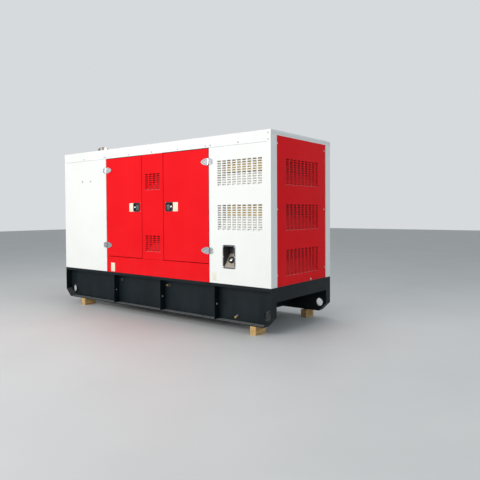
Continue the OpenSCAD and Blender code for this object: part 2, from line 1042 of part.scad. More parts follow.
// The paddle in a dish, hinged on a pin along its top edge
module paddle_plate() {
    translate([paddle_x, 0, paddle_pin_z - paddle_h])
        cube([paddle_w, paddle_t, paddle_h]);
    translate([paddle_x, paddle_t / 2, paddle_pin_z])
        rotate([0, 90, 0]) {
            cylinder(r = 2 * paddle_pin_r, h = paddle_w);
            translate([0, 0, -lug_w])
                cylinder(r = paddle_pin_r, h = paddle_w + 2 * lug_w);
        }
}

// The two lugs in a dish that carry the paddle's pin
module paddle_lugs() {
    for (x = [paddle_x - lug_w - run_gap, paddle_x + paddle_w + run_gap])
        translate([x, -1, paddle_pin_z - lug_h / 2])
            difference() {
                cube([lug_w, dish_d, lug_h]);
                translate([-1, 1 + paddle_t / 2, lug_h / 2])
                    rotate([0, 90, 0])
                        cylinder(r = paddle_pin_r + run_gap, h = lug_w + 2);
            }
}

module left_door() {
    color(red)
        on_front(seam_1 + fixed_edge, door_z)
            door_sheet(left_door_w)
                translate([left_lock_x - seam_1 - fixed_edge, deck_z + lock_z - door_z])
                    dish_hole();
}

module right_door() {
    color(red)
        on_front(seam_3 + fixed_edge, door_z)
            door_sheet(right_door_w)
                translate([right_lock_x - seam_3 - fixed_edge, deck_z + lock_z - door_z])
                    dish_hole();
}

// Lining pad inside a door, clear of its lock
module door_lining(w, lock_x) {
    edge = sheet_t + seam;
    translate([0, sheet_t, 0])
        upright(door_d - sheet_t - 6)
            difference() {
                translate([edge, edge])
                    square([w - door_gap - 2 * edge, door_h - 2 * edge]);
                translate([lock_x, deck_z + lock_z - door_z])
                    square([lock_w, lock_h], center = true);
            }
}

module left_door_lining() {
    color(foam)
        on_front(seam_1 + fixed_edge, door_z)
            door_lining(left_door_w, left_lock_x - seam_1 - fixed_edge);
}

module right_door_lining() {
    color(foam)
        on_front(seam_3 + fixed_edge, door_z)
            door_lining(right_door_w, right_lock_x - seam_3 - fixed_edge);
}

module left_door_hinges() {
    color("silver")
        hinge_places(seam_1, false)
            door_leaf();
}

module right_door_hinges() {
    color("silver")
        hinge_places(seam_4, true)
            door_leaf();
}

module door_hinge_frames() {
    color("silver") {
        hinge_places(seam_1, false)
            frame_leaf();
        hinge_places(seam_4, true)
            frame_leaf();
    }
}

module left_lock() {
    color("#1b1c1e")
        on_front(left_lock_x, deck_z + lock_z)
            mirror([1, 0, 0])
                lock_dish();
}

module right_lock() {
    color("#1b1c1e")
        on_front(right_lock_x, deck_z + lock_z)
            lock_dish();
}

module left_paddle() {
    color("#2a2c2e")
        on_front(left_lock_x, deck_z + lock_z)
            mirror([1, 0, 0])
                paddle_plate();
}

module right_paddle() {
    color("#2a2c2e")
        on_front(right_lock_x, deck_z + lock_z)
            paddle_plate();
}

// The same doors on the back, shut
module back_doors() {
    color(red)
        mirror([0, 1, 0]) {
            on_front(seam_1 + fixed_edge, door_z)
                door_sheet(left_door_w)
                    translate([left_lock_x - seam_1 - fixed_edge, deck_z + lock_z - door_z])
                        dish_hole();
            on_front(seam_3 + fixed_edge, door_z)
                door_sheet(right_door_w)
                    translate([right_lock_x - seam_3 - fixed_edge, deck_z + lock_z - door_z])
                        dish_hole();
        }
}

// Hinges of the back doors
module back_hinges() {
    color("silver")
        mirror([0, 1, 0]) {
            hinge_places(seam_1, false) {
                door_leaf();
                frame_leaf();
            }
            hinge_places(seam_4, true) {
                door_leaf();
                frame_leaf();
            }
        }
}

// Lock dishes of the back doors, with their paddles fused in
module back_locks() {
    color("#1b1c1e")
        mirror([0, 1, 0]) {
            on_front(left_lock_x, deck_z + lock_z)
                mirror([1, 0, 0])
                    shut_lock();
            on_front(right_lock_x, deck_z + lock_z)
                shut_lock();
        }
}

// A lock dish with a fixed paddle
module shut_lock() {
    lock_dish();
    paddle_plate();
    translate([paddle_x + paddle_w / 4, paddle_t - weld, paddle_pin_z - paddle_h / 2])
        cube([paddle_w / 2, dish_d - paddle_t, paddle_h / 3]);
    translate([paddle_x - lug_w - run_gap, 0, paddle_pin_z - paddle_pin_r])
        cube([paddle_w + 2 * lug_w + 2 * run_gap, paddle_t, 2 * paddle_pin_r]);
}

// Skid: two beams, cross bearers and rubber mounts
module machine_skid() {
    bearer_at = [0.08, 0.5, 0.92];
    drop = skid_h / 6;
    color("#2f3a44") {
        both_sides()
            translate([skid_left, -skid_out, skid_z])
                cube([skid_l, skid_w, skid_h]);
        for (s = bearer_at)
            translate([skid_left + s * skid_l - skid_w / 2, -skid_y, skid_z + drop])
                cube([skid_w, 2 * skid_y, skid_h - 2 * drop]);
        both_sides()
            for (s = bearer_at)
                translate([skid_left + s * skid_l, -skid_y, deck_z])
                    cylinder(r = skid_w * 0.7, h = mount_h);
    }
}

// Points of the generator's half section: radius and length
function gen_profile() = [
    [0, 0],
    [gen_r * 0.75, 0],
    [gen_r * 0.75, gen_l * 0.04],
    [gen_r, gen_l * 0.08],
    [gen_r, gen_l * 0.12],
    [gen_r * 0.9, gen_l * 0.12],
    [gen_r * 0.9, gen_l * 0.79],
    [gen_r, gen_l * 0.79],
    [gen_r, gen_l * 0.83],
    [gen_r * 0.82, gen_l * 0.92],
    [gen_r * 0.72, gen_l * 0.97],
    [gen_r * 0.5, gen_l],
    [0, gen_l]
];

// Generator: ribbed frame, feet and terminal box
module generator() {
    ribs = 24;
    rib_t = gen_r / 29;
    foot_l = gen_l * 0.12;
    foot_h = shaft_z - skid_top - gen_r * 0.5;
    lid_t = 8;
    box_l = gen_l / 2;
    box_top = gen_r + terminal_w * 0.63;
    color("#4a6a86")
        translate([gen_x, 0, shaft_z]) {
            turned_x()
                polygon(gen_profile());
            for (i = [0 : ribs - 1])
                rotate([360 / ribs * (i + 0.5), 0, 0])
                    translate([gen_l * 0.12 - weld, -rib_t / 2, gen_r * 0.85])
                        cube([gen_l * 0.67 + 2 * weld, rib_t, gen_r * 0.13]);
            for (s = [0.16, 0.66])
                translate([s * gen_l, -skid_out, skid_top - shaft_z])
                    difference() {
                        cube([foot_l, 2 * skid_out, foot_h]);
                        translate([-1, 1.7 * skid_w, -1])
                            cube([foot_l + 2, 2 * skid_out - 3.4 * skid_w, foot_h / 2]);
                    }
            translate([gen_l * 0.22, -terminal_w / 2, gen_r * 0.8])
                cube([box_l, terminal_w, box_top - gen_r * 0.8]);
            translate([gen_l * 0.22 - lid_t, -terminal_w / 2 - lid_t, box_top - weld])
                cube([box_l + 2 * lid_t, terminal_w + 2 * lid_t, lid_t]);
        }
}

// Outline of the gearbox across the shaft
module gearbox_outline(grow) {
    r = gearbox_r + grow;
    circle(r = gearbox_r * 0.8 + grow);
    translate([0, -gearbox_r * 0.55])
        circle(r = r);
    translate([-r, -gearbox_r * 1.4])
        square([2 * r, gearbox_r * 0.85]);
}

// Gearbox: a cast housing with three flanges on a foot plate
module gearbox() {
    flange_t = gearbox_l / 10;
    flange_up = gearbox_r / 15;
    long = gearbox_l - 2 * joint_gap;
    foot_z = skid_top - shaft_z;
    color("#5a6066")
        translate([turbine_x + joint_gap, 0, shaft_z]) {
            along_x(long)
                gearbox_outline(0);
            for (s = [0, 0.5, 1])
                translate([s * (long - flange_t), 0, 0])
                    along_x(flange_t)
                        gearbox_outline(flange_up);
            translate([0, -skid_out, foot_z])
                cube([long, 2 * skid_out, weld - foot_z - gearbox_r * 1.4]);
        }
}

// Turbine: casings turned about the shaft, with fuel nozzles and a ring pipe
module turbine() {
    nozzles = 10;
    nozzle_at = turbine_l * 0.58;
    nozzle_r = turbine_r / 18;
    ring_r = turbine_r * 1.05;
    color("#8d9093")
        translate([turbine_x, 0, shaft_z]) {
            rotate([0, 0, 180])
                turned_x()
                    polygon([for (p = turbine_shape) [p[0] * turbine_r, p[1] * turbine_l]]);
            for (i = [0 : nozzles - 1])
                rotate([360 / nozzles * (i + 0.5), 0, 0])
                    translate([-nozzle_at, 0, turbine_r * 0.9])
                        cylinder(r = nozzle_r, h = ring_r - turbine_r * 0.9 + nozzle_r / 2);
            translate([-nozzle_at, 0, 0])
                turned_x()
                    translate([ring_r, 0])
                        circle(r = nozzle_r * 0.65);
            for (s = [0.4225, 0.8025])
                translate([-s * turbine_l - cradle_t / 2, -skid_out, skid_top - shaft_z])
                    turbine_cradle();
        }
}

// A cradle plate under a turbine flange
module turbine_cradle() {
    tall = shaft_z - skid_top;
    top_w = turbine_r * 0.96;
    hole_w = turbine_r * 0.56;
    along_x(cradle_t)
        difference() {
            polygon([
                [0, 0],
                [2 * skid_out, 0],
                [2 * skid_out, cradle_t],
                [skid_out + top_w, tall * 0.95],
                [skid_out - top_w, tall * 0.95],
                [0, cradle_t]
            ]);
            translate([skid_out, tall])
                circle(r = turbine_r * 0.89);
            translate([skid_out - hole_w, cradle_t])
                square([2 * hole_w, tall * 0.2]);
        }
}

// Intake housing: a box that sits as a saddle on the turbine's flange
module intake_housing() {
    long = turbine_l * 0.415;
    start = turbine_l * 0.0225;
    bottom = turbine_r / 2;
    top = roof_z - lining_t - service_gap - shaft_z;
    louvres = 6;
    louvre_at = bottom + turbine_r * 0.7;
    louvre_pitch = (top - louvre_at) / louvres;
    color("#c9ccca")
        translate([turbine_x - long - start, 0, shaft_z])
            difference() {
                translate([0, -intake_w / 2, bottom])
                    cube([long, intake_w, top - bottom]);
                translate([-1, 0, 0])
                    turned_x()
                        square([saddle_r + run_gap, long + 2]);
                for (i = [0 : louvres - 1])
                    translate([long / 8, -intake_w / 2 - 1, louvre_at + i * louvre_pitch])
                        cube([long * 0.75, intake_w / 20, louvre_pitch * 0.55]);
            }
}

// Exhaust duct with bellows between the turbine and the silencer
module exhaust_duct() {
    rib_r = duct_r / 13;
    rib_pitch = 2.4 * rib_r;
    cone = duct_l * 0.35;
    flange_t = duct_r / 6.5;
    flange_r = duct_r + flange_t;
    ribs = floor((duct_l - cone - 2 * flange_t) / rib_pitch);
    color("#7c7063")
        translate([turbine_end - joint_gap, 0, shaft_z])
            rotate([0, 0, 180])
                turned_x() {
                    polygon([
                        [0, 0],
                        [turbine_r * 0.98, 0],
                        [turbine_r * 0.98, flange_t],
                        [turbine_r * 0.84, flange_t * 1.25],
                        [duct_r, cone],
                        [duct_r, duct_l - flange_t],
                        [flange_r, duct_l - flange_t],
                        [flange_r, duct_l],
                        [0, duct_l]
                    ]);
                    for (i = [0 : ribs - 1])
                        translate([duct_r, cone + flange_t + i * rib_pitch])
                            circle(r = rib_r);
                }
}

// Silencer: an upright drum on four legs with a spigot towards the duct
module silencer() {
    top = silencer_top - deck_z;
    drum_z = shaft_h * 0.31;
    leg_r = silencer_r / 10;
    root = silencer_r * 0.28;
    flange_t = duct_r / 6.5;
    color("#6d6a66")
        translate([silencer_x, 0, deck_z]) {
            rotate_extrude()
                polygon([
                    [0, drum_z],
                    [silencer_r * 0.75, drum_z],
                    [silencer_r, drum_z * 1.2],
                    [silencer_r, top - drum_z * 0.2],
                    [silencer_r * 0.75, top],
                    [0, top]
                ]);
            for (i = [0 : 3])
                rotate([0, 0, 45 + i * 90])
                    translate([silencer_r * 0.6, 0, 0])
                        cylinder(r = leg_r, h = drum_z * 1.3);
            translate([silencer_r - root, 0, shaft_h])
                turned_x()
                    polygon([
                        [0, 0],
                        [duct_r, 0],
                        [duct_r, root + spigot_l - flange_t],
                        [duct_r + flange_t, root + spigot_l - flange_t],
                        [duct_r + flange_t, root + spigot_l],
                        [0, root + spigot_l]
                    ]);
        }
}

// Control cabinet on two feet inside the right end, with its door towards the generator
module control_cabinet() {
    foot = cabinet_h / 18;
    door_t = foot / 5;
    color("#b9bdbb")
        translate([cabinet_x, cabinet_y, deck_z]) {
            for (y = [0, cabinet_w - foot])
                translate([0, y, 0])
                    cube([cabinet_l, foot, foot]);
            translate([0, 0, foot - weld])
                cube([cabinet_l, cabinet_w, cabinet_h - foot]);
            translate([-door_t, foot / 3, 1.5 * foot])
                cube([door_t + weld, cabinet_w - foot / 1.5, cabinet_h - 2 * foot]);
        }
}

// Two starter batteries in front of the cabinet
module batteries() {
    post_r = battery[0] / 20;
    color("#17181a")
        for (i = [0, 1])
            translate([cabinet_x - service_gap + i * (battery[0] + service_gap / 2), battery_y, deck_z]) {
                cube(battery);
                for (s = [0.3, 0.7])
                    translate([battery[0] / 6, s * battery[1], battery[2] - weld])
                        cylinder(r = post_r, h = 2 * post_r);
            }
}

timber_blocks();
front_rail();
back_rail();
end_beams();
fuel_tank();
deck();
corner_posts();
door_posts();
top_rails();
roof();
linings();
front_left_panel();
front_right_panel();
front_centre_panel();
front_sill();
back_white_panels();
back_red_panels();
back_doors();
back_hinges();
back_locks();
left_end_panel();
right_end_panel();
white_vent_pockets();
vent_foam();
red_vent_pockets();
red_vent_foam();
filler_recess();
filler_back();
fuel_cap();
roof_outlet();
door_hinge_frames();
machine_skid();
generator();
gearbox();
turbine();
intake_housing();
exhaust_duct();
silencer();
control_cabinet();
batteries();
left_door();
left_door_lining();
left_door_hinges();
left_lock();
left_paddle();
right_door();
right_door_lining();
right_door_hinges();
right_lock();
right_paddle();
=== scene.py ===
"""Looks of the canopied generating set: finishes, small fittings, floor, light and camera.

Everything is in metres in the frame of the CAD model: X along the set, the front
faces -Y, and z = 0 is the floor.
"""

import json
import math
import random

import bmesh
import bpy
from mathutils import Matrix, Vector
from mathutils import noise as blob


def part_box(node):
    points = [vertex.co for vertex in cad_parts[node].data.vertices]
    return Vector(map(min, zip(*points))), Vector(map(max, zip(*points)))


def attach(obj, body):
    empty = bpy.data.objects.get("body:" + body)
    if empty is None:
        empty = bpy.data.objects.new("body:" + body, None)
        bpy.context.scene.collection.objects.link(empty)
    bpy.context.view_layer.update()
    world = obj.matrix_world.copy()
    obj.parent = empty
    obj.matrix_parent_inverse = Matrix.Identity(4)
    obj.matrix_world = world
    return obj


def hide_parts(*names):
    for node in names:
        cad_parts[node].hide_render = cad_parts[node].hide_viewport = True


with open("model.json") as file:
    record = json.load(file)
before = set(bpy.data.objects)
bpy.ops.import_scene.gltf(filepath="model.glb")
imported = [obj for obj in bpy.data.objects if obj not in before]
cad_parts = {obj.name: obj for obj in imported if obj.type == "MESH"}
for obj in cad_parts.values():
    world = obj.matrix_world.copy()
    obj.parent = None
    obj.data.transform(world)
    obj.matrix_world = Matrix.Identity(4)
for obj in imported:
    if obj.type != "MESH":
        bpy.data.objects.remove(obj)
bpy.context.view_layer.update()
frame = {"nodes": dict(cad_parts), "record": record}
ENCLOSURE = "enclosure"

# Places: from the frame, or in millimetres from the left end and above the base
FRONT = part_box("front_sill")[0].y
BACK = -FRONT
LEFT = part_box("roof")[0].x
RIGHT = -LEFT
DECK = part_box("front_sill")[0].z
ROOF_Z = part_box("roof")[1].z
WEB = FRONT + 0.085  # outer face of the front rail's web
END_FACE = RIGHT - 0.005  # outer face of the right end panel
SHAFT_Z = 1.125  # shaft of the turbine, the gearbox and the generator
UP, FRONT_WAY, BACK_WAY, RIGHT_WAY, LEFT_WAY = (0, 0, 1), (0, -1, 0), (0, 1, 0), (1, 0, 0), (-1, 0, 0)
RAILS = ((FRONT_WAY, WEB), (BACK_WAY, -WEB))


def from_left(mm):
    """X of a distance in millimetres from the left end."""
    return LEFT + mm / 1000


def above_deck(mm):
    """Z of a height in millimetres above the base."""
    return DECK + mm / 1000


LOCK_X = {"left": from_left(1499), "right": from_left(2057)}
LOCK_Z = above_deck(816)
TOWARD_HINGE = {"left": -1, "right": 1}  # along X, from the lock to the hinges of its door
# Middles of the vents: white right panels, red centre panels and red end panels
VENT_X, BIG_VENTS = 1.3416, (above_deck(696), above_deck(1160))
SMALL_VENT_X, SMALL_VENTS = 0.043, (above_deck(386), above_deck(1115))
END_VENTS = (above_deck(231), *BIG_VENTS)


# Helpers for shader nodes
def new_material(name, color, roughness, metallic=0.0, coat=0.0, specular=0.5):
    mat = bpy.data.materials.new(name)
    mat.use_nodes = True
    shader = mat.node_tree.nodes["Principled BSDF"]
    values = {"Base Color": (*color, 1), "Roughness": roughness, "Metallic": metallic,
              "Specular IOR Level": specular, "Coat Weight": coat, "Coat Roughness": 0.12}
    for key, value in values.items():
        shader.inputs[key].default_value = value
    return mat, mat.node_tree, shader


def dress(tree, shader, color, normal, gloss=None):
    """Links a colour, a normal and, where it varies, a roughness to the shader."""
    tree.links.new(color, shader.inputs["Base Color"])
    tree.links.new(normal, shader.inputs["Normal"])
    if gloss is not None:
        tree.links.new(gloss, shader.inputs["Roughness"])


def node(tree, kind, **values):
    """A new node with its settings or, where it has none of that name, its inputs."""
    made = tree.nodes.new(kind)
    for key, value in values.items():
        if hasattr(made, key):
            setattr(made, key, value)
        else:
            made.inputs[key.replace("_", " ")].default_value = value
    return made


def coords(tree, scale=(1, 1, 1)):
    """The piece's own coordinates, in metres, stretched by scale."""
    place = node(tree, "ShaderNodeTexCoord")
    mapping = node(tree, "ShaderNodeMapping", Scale=scale)
    tree.links.new(place.outputs["Object"], mapping.inputs["Vector"])
    return mapping.outputs["Vector"]


def noise(tree, scale, detail=3.0, roughness=0.5, stretch=(1, 1, 1)):
    made = node(tree, "ShaderNodeTexNoise", Scale=scale, Detail=detail, Roughness=roughness)
    tree.links.new(coords(tree, stretch), made.inputs["Vector"])
    return made.outputs["Fac"]


def ramp(tree, value, low, high, to_low=0.0, to_high=1.0):
    """Value mapped from low..high to to_low..to_high, held at the ends."""
    made = node(tree, "ShaderNodeMapRange", From_Min=low, From_Max=high, To_Min=to_low, To_Max=to_high)
    tree.links.new(value, made.inputs["Value"])
    return made.outputs["Result"]


def multiply(tree, a, b):
    made = node(tree, "ShaderNodeMath", operation="MULTIPLY")
    tree.links.new(a, made.inputs[0])
    if isinstance(b, (int, float)):
        made.inputs[1].default_value = b
    else:
        tree.links.new(b, made.inputs[1])
    return made.outputs["Value"]


def mix_color(tree, factor, first, second):
    made = node(tree, "ShaderNodeMix", data_type="RGBA")
    tree.links.new(factor, made.inputs["Factor"])
    for socket, value in ((made.inputs[6], first), (made.inputs[7], second)):
        if isinstance(value, tuple):
            socket.default_value = (*value, 1)
        else:
            tree.links.new(value, socket)
    return made.outputs[2]


def bump(tree, height, distance, strength=1.0, under=None):
    made = node(tree, "ShaderNodeBump", Distance=distance, Strength=strength)
    tree.links.new(height, made.inputs["Height"])
    if under is not None:
        tree.links.new(under, made.inputs["Normal"])
    return made.outputs["Normal"]


def rounded_normal(tree, radius):
    """Normals that round each sharp edge of sheet or casting by radius."""
    return node(tree, "ShaderNodeBevel", samples=4, Radius=radius).outputs["Normal"]


def upward(tree, kind, output):
    """The Z of a node's vector output."""
    split = node(tree, "ShaderNodeSeparateXYZ")
    tree.links.new(node(tree, kind).outputs[output], split.inputs["Vector"])
    return split.outputs["Z"]


def height_of(tree):
    """Height above the floor at rest."""
    return upward(tree, "ShaderNodeTexCoord", "Object")


def facing_up(tree):
    """1 on faces that look up, 0 on upright and hanging ones."""
    return ramp(tree, upward(tree, "ShaderNodeNewGeometry", "True Normal"), 0.6, 0.9)


# Finishes
DUST = (0.27, 0.27, 0.265)
FINISH = {}


def paint(name, color, shade, roughness, peel=0.00003, coat=0.03, specular=0.3, dust_top=0.9,
          dust_most=0.1, edge=0.0012, settle=0.0):
    """Sprayed powder paint: faint mottling, orange peel, and dust low down and on ledges."""
    mat, tree, shader = new_material(name, color, roughness, 0, coat, specular)
    body = mix_color(tree, ramp(tree, noise(tree, 2.2, 4), 0.35, 0.7), color, shade)
    low = ramp(tree, height_of(tree), 0.1, dust_top, dust_most, 0.0)
    patches = ramp(tree, noise(tree, 9, 6, 0.65, (1, 1, 0.35)), 0.4, 0.75)
    dusty = mix_color(tree, multiply(tree, low, patches), body, DUST)
    if settle:
        thick = ramp(tree, noise(tree, 11, 5, 0.6), 0.25, 0.7, 0.55 * settle, settle)
        dusty = mix_color(tree, multiply(tree, facing_up(tree), thick), dusty, DUST)
    gloss = ramp(tree, noise(tree, 14), 0.3, 0.7, roughness - 0.04, roughness + 0.06)
    skin = bump(tree, noise(tree, 420, 2, 0.45), peel, 1.0, rounded_normal(tree, edge))
    dress(tree, shader, dusty, skin, gloss)
    return mat


def brushed(name, color, dark, roughness, stretch=(1, 1, 1), scale=300, tint=None, tint_from=0,
            tint_to=1, crevice=0.0):
    """Metal with fine drawn lines, a heat tint upwards where one is given, and painted shade in
    crevices.
    """
    mat, tree, shader = new_material(name, color, roughness, 1.0)
    lines = noise(tree, scale, 4, 0.6, stretch)
    cloud = noise(tree, 7)
    tone = mix_color(tree, ramp(tree, cloud, 0.35, 0.7), color, dark)
    if tint:
        heat = ramp(tree, height_of(tree), tint_from, tint_to)
        tone = mix_color(tree, multiply(tree, heat, ramp(tree, cloud, 0.2, 0.6, 0.5, 1)), tone, tint)
    # Painted shade: ambient occlusion darkens the colour towards a near-black copy of it in crevices and
    # recesses.
    if crevice:
        shut_in = node(tree, "ShaderNodeAmbientOcclusion", samples=6, Distance=crevice)
        crevice_shade = tuple(c * 0.12 for c in color)
        tone = mix_color(tree, ramp(tree, shut_in.outputs["AO"], 0.4, 0.95), crevice_shade, tone)
    gloss = ramp(tree, lines, 0.3, 0.7, roughness - 0.08, roughness + 0.12)
    dress(tree, shader, tone, bump(tree, lines, 0.00006, 0.6, rounded_normal(tree, 0.001)), gloss)
    return mat


def cast(name, color, dark, roughness, metallic, grain=230, depth=0.0006):
    """Painted or bare casting with a sandy skin."""
    mat, tree, shader = new_material(name, color, roughness, metallic)
    cloud = noise(tree, 6, 4)
    tone = mix_color(tree, ramp(tree, cloud, 0.35, 0.7), color, dark)
    gloss = ramp(tree, cloud, 0.3, 0.7, roughness - 0.07, roughness + 0.1)
    skin = bump(tree, noise(tree, grain, 5, 0.65), depth, 0.5, rounded_normal(tree, 0.003))
    dress(tree, shader, tone, skin, gloss)
    return mat


def moulded(name, color, roughness, grain=700, depth=0.00015):
    """Moulded plastic or rubber with a fine spark-eroded grain."""
    mat, tree, shader = new_material(name, color, roughness)
    pits = node(tree, "ShaderNodeTexVoronoi", Scale=grain)
    tree.links.new(coords(tree), pits.inputs["Vector"])
    cloud = noise(tree, 20)
    lighter = tuple(min(1, c * 1.6 + 0.006) for c in color)
    tone = mix_color(tree, ramp(tree, cloud, 0.4, 0.75), color, lighter)
    gloss = ramp(tree, cloud, 0.3, 0.7, roughness - 0.06, roughness + 0.06)
    skin = bump(tree, pits.outputs["Distance"], depth, 0.5, rounded_normal(tree, 0.0012))
    dress(tree, shader, tone, skin, gloss)
    return mat


def open_foam(name, color, dark):
    """Glued sound foam: open cells, mottled."""
    mat, tree, shader = new_material(name, color, 0.95)
    cells = node(tree, "ShaderNodeTexVoronoi", Scale=260)
    tree.links.new(coords(tree), cells.inputs["Vector"])
    cell = ramp(tree, cells.outputs["Distance"], 0.1, 0.7)
    cloud = ramp(tree, noise(tree, 12, 5, 0.6), 0.35, 0.7)
    tone = mix_color(tree, cloud, color, dark)
    pitted = mix_color(tree, multiply(tree, cell, 0.55), tone, tuple(c * 0.3 for c in color))
    dress(tree, shader, pitted, bump(tree, cell, 0.0016, 0.8))
    shader.inputs["Sheen Weight"].default_value = 0.25
    return mat


def sawn_timber(name):
    """Sawn pine: rings round a pith along Y in each block, fibres, saw marks and dirt."""
    mat, tree, shader = new_material(name, (0.5, 0.36, 0.17), 0.75)
    ring = node(tree, "ShaderNodeTexWave", wave_type="RINGS", rings_direction="Y", Scale=34,
                Distortion=3.5, Detail=3, Detail_Scale=1.6)
    near_pith = node(tree, "ShaderNodeVectorMath", operation="ADD")
    near_pith.inputs[1].default_value = (0.044, 0, -0.035)
    tree.links.new(coords(tree, (1, 0.12, 1)), near_pith.inputs[0])
    each_block = node(tree, "ShaderNodeVectorMath", operation="WRAP")
    each_block.inputs[1].default_value = (0.071, 9, 9)
    each_block.inputs[2].default_value = (-0.071, -9, -9)
    tree.links.new(near_pith.outputs["Vector"], each_block.inputs[0])
    tree.links.new(each_block.outputs["Vector"], ring.inputs["Vector"])
    rings = ramp(tree, ring.outputs["Fac"], 0.1, 0.9)
    fibre = noise(tree, 240, 5, 0.7, (1, 0.04, 1))
    grain = mix_color(tree, rings, (0.73, 0.48, 0.19), (0.47, 0.26, 0.08))
    fibres = mix_color(tree, ramp(tree, fibre, 0.4, 0.75, 0, 0.4), grain, (0.24, 0.15, 0.06))
    dirt = ramp(tree, noise(tree, 16, 5, 0.6), 0.5, 0.75, 0, 0.45)
    tone = mix_color(tree, dirt, fibres, (0.12, 0.09, 0.06))
    saw = node(tree, "ShaderNodeTexWave", bands_direction="Y", Scale=55, Distortion=1.2, Detail=2)
    tree.links.new(coords(tree), saw.inputs["Vector"])
    marks = bump(tree, saw.outputs["Fac"], 0.0004, 0.5, rounded_normal(tree, 0.003))
    dress(tree, shader, tone, bump(tree, fibre, 0.0006, 0.7, marks))
    return mat


def add_finish(kind, name, *values, **more):
    FINISH[name] = kind(name, *values, **more)


add_finish(paint, "white_paint", (0.82, 0.83, 0.81), (0.79, 0.8, 0.78), 0.42)
add_finish(paint, "red_paint", (0.8, 0.008, 0.013), (0.76, 0.006, 0.011), 0.4, coat=0.0, specular=0.06,
           dust_most=0.05)
add_finish(paint, "base_paint", (0.0035, 0.0078, 0.0102), (0.0068, 0.0125, 0.0158), 0.42, 0.00008,
           coat=0.02, specular=0.14, dust_top=0.7, dust_most=0.035, edge=0.002, settle=0.85)
add_finish(paint, "frame_paint", (0.03, 0.033, 0.037), (0.045, 0.05, 0.055), 0.5)
add_finish(paint, "machine_paint", (0.04, 0.12, 0.22), (0.05, 0.14, 0.25), 0.42, 0.0002, coat=0.1,
           dust_top=1.6, edge=0.003)
add_finish(paint, "cabinet_paint", (0.55, 0.57, 0.56), (0.5, 0.52, 0.51), 0.5, 0.0001)
add_finish(paint, "filler_plate", (0.44, 0.39, 0.31), (0.37, 0.33, 0.27), 0.45, dust_most=0.2)
add_finish(sawn_timber, "timber")
add_finish(open_foam, "foam", (0.66, 0.55, 0.37), (0.55, 0.44, 0.28))
# Painted light: a brighter, warmer copy of the foam for the pads behind the white vents.
add_finish(open_foam, "bright_foam", (0.95, 0.7, 0.28), (0.9, 0.62, 0.2))
# Painted shade: a dark red copy of the foam for the pads behind the red vents, standing in for foam in
# shade under painted red bounce light.
add_finish(open_foam, "dark_foam", (0.34, 0.06, 0.05), (0.26, 0.045, 0.035))
# Painted light: paler, brighter copies of the white and the red paint for the insides of the vent
# pockets, standing in for light that reaches into them.
add_finish(paint, "lit_pocket_white", (0.97, 0.97, 0.95), (0.96, 0.96, 0.94), 0.5, dust_most=0.0)
add_finish(paint, "lit_pocket_red", (0.96, 0.12, 0.13), (0.94, 0.1, 0.11), 0.35, coat=0.3, specular=0.6,
           dust_most=0.0)
add_finish(moulded, "black_plastic", (0.012, 0.012, 0.013), 0.42)
add_finish(moulded, "battery_case", (0.02, 0.02, 0.022), 0.5, 400, 0.0003)
add_finish(moulded, "rubber", (0.016, 0.016, 0.016), 0.7, 500, 0.0002)
# Hinge metal carries painted shade in its crevices.
add_finish(brushed, "hinge_metal", (0.8, 0.81, 0.82), (0.72, 0.73, 0.75), 0.16, (1, 1, 6), 120,
           crevice=0.009)
add_finish(brushed, "outlet_steel", (0.62, 0.62, 0.61), (0.48, 0.48, 0.47), 0.32, (1, 1, 0.05), 160,
           tint=(0.3, 0.25, 0.2), tint_from=2.1, tint_to=2.17)
add_finish(brushed, "turbine_metal", (0.38, 0.38, 0.39), (0.27, 0.27, 0.29), 0.4, (0.06, 1, 1), 110)
add_finish(brushed, "hot_metal", (0.3, 0.26, 0.22), (0.2, 0.17, 0.15), 0.5, (1, 1, 0.1), 80)
add_finish(cast, "cast_metal", (0.16, 0.17, 0.18), (0.1, 0.11, 0.12), 0.55, 0.35)
add_finish(brushed, "zinc", (0.68, 0.69, 0.68), (0.5, 0.52, 0.52), 0.34)
add_finish(brushed, "dull_zinc", (0.46, 0.47, 0.48), (0.36, 0.37, 0.38), 0.42)
add_finish(brushed, "brass", (0.72, 0.5, 0.14), (0.55, 0.36, 0.1), 0.28)
add_finish(paint, "cream_plate", (0.8, 0.76, 0.6), (0.76, 0.72, 0.56), 0.4, 0.00001)
add_finish(moulded, "grey_plastic", (0.075, 0.077, 0.08), 0.4)
add_finish(moulded, "mid_plastic", (0.15, 0.15, 0.155), 0.35)
add_finish(moulded, "recess_plastic", (0.034, 0.033, 0.038), 0.45)
# Painted highlight: a paler, glossier red for the rolled vent edges, standing in for the light caught
# along them.
add_finish(paint, "red_edge_highlight", (0.88, 0.16, 0.16), (0.85, 0.12, 0.12), 0.35, specular=0.5, dust_most=0.0)
add_finish(moulded, "lamp_green", (0.02, 0.28, 0.06), 0.2, 900, 0.00001)

# The vent pockets take the painted-light copies of their paint.
OWN_FINISH = {"white_vent_pockets": "lit_pocket_white", "red_vent_pockets": "lit_pocket_red",
              "filler_recess": "recess_plastic"}
for part in frame["record"]["subparts"]:
    wanted = OWN_FINISH.get(part["node"], part["material_slot"])
    for holder in frame["nodes"][part["node"]].material_slots:
        holder.material = FINISH[wanted]


# Helpers for meshes
class Parts:
    """Collects copies of small forms into one mesh."""

    def __init__(self):
        self.mesh = bmesh.new()

    def add(self, form, matrix=Matrix.Identity(4)):
        verts, faces = form
        made = [self.mesh.verts.new(matrix @ Vector(v)) for v in verts]
        for face in faces:
            self.mesh.faces.new([made[i] for i in face])
        return self

    def finish(self, name, slot, finish=None, body=ENCLOSURE, sharp=35):
        bmesh.ops.recalc_face_normals(self.mesh, faces=self.mesh.faces)
        data = bpy.data.meshes.new(name)
        self.mesh.to_mesh(data)
        self.mesh.free()
        data.polygons.foreach_set("use_smooth", [True] * len(data.polygons))
        data.set_sharp_from_angle(angle=math.radians(sharp))
        data.materials.append(FINISH[finish or slot])
        made = bpy.data.objects.new(name, data)
        bpy.context.scene.collection.objects.link(made)
        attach(made, body)
        return made


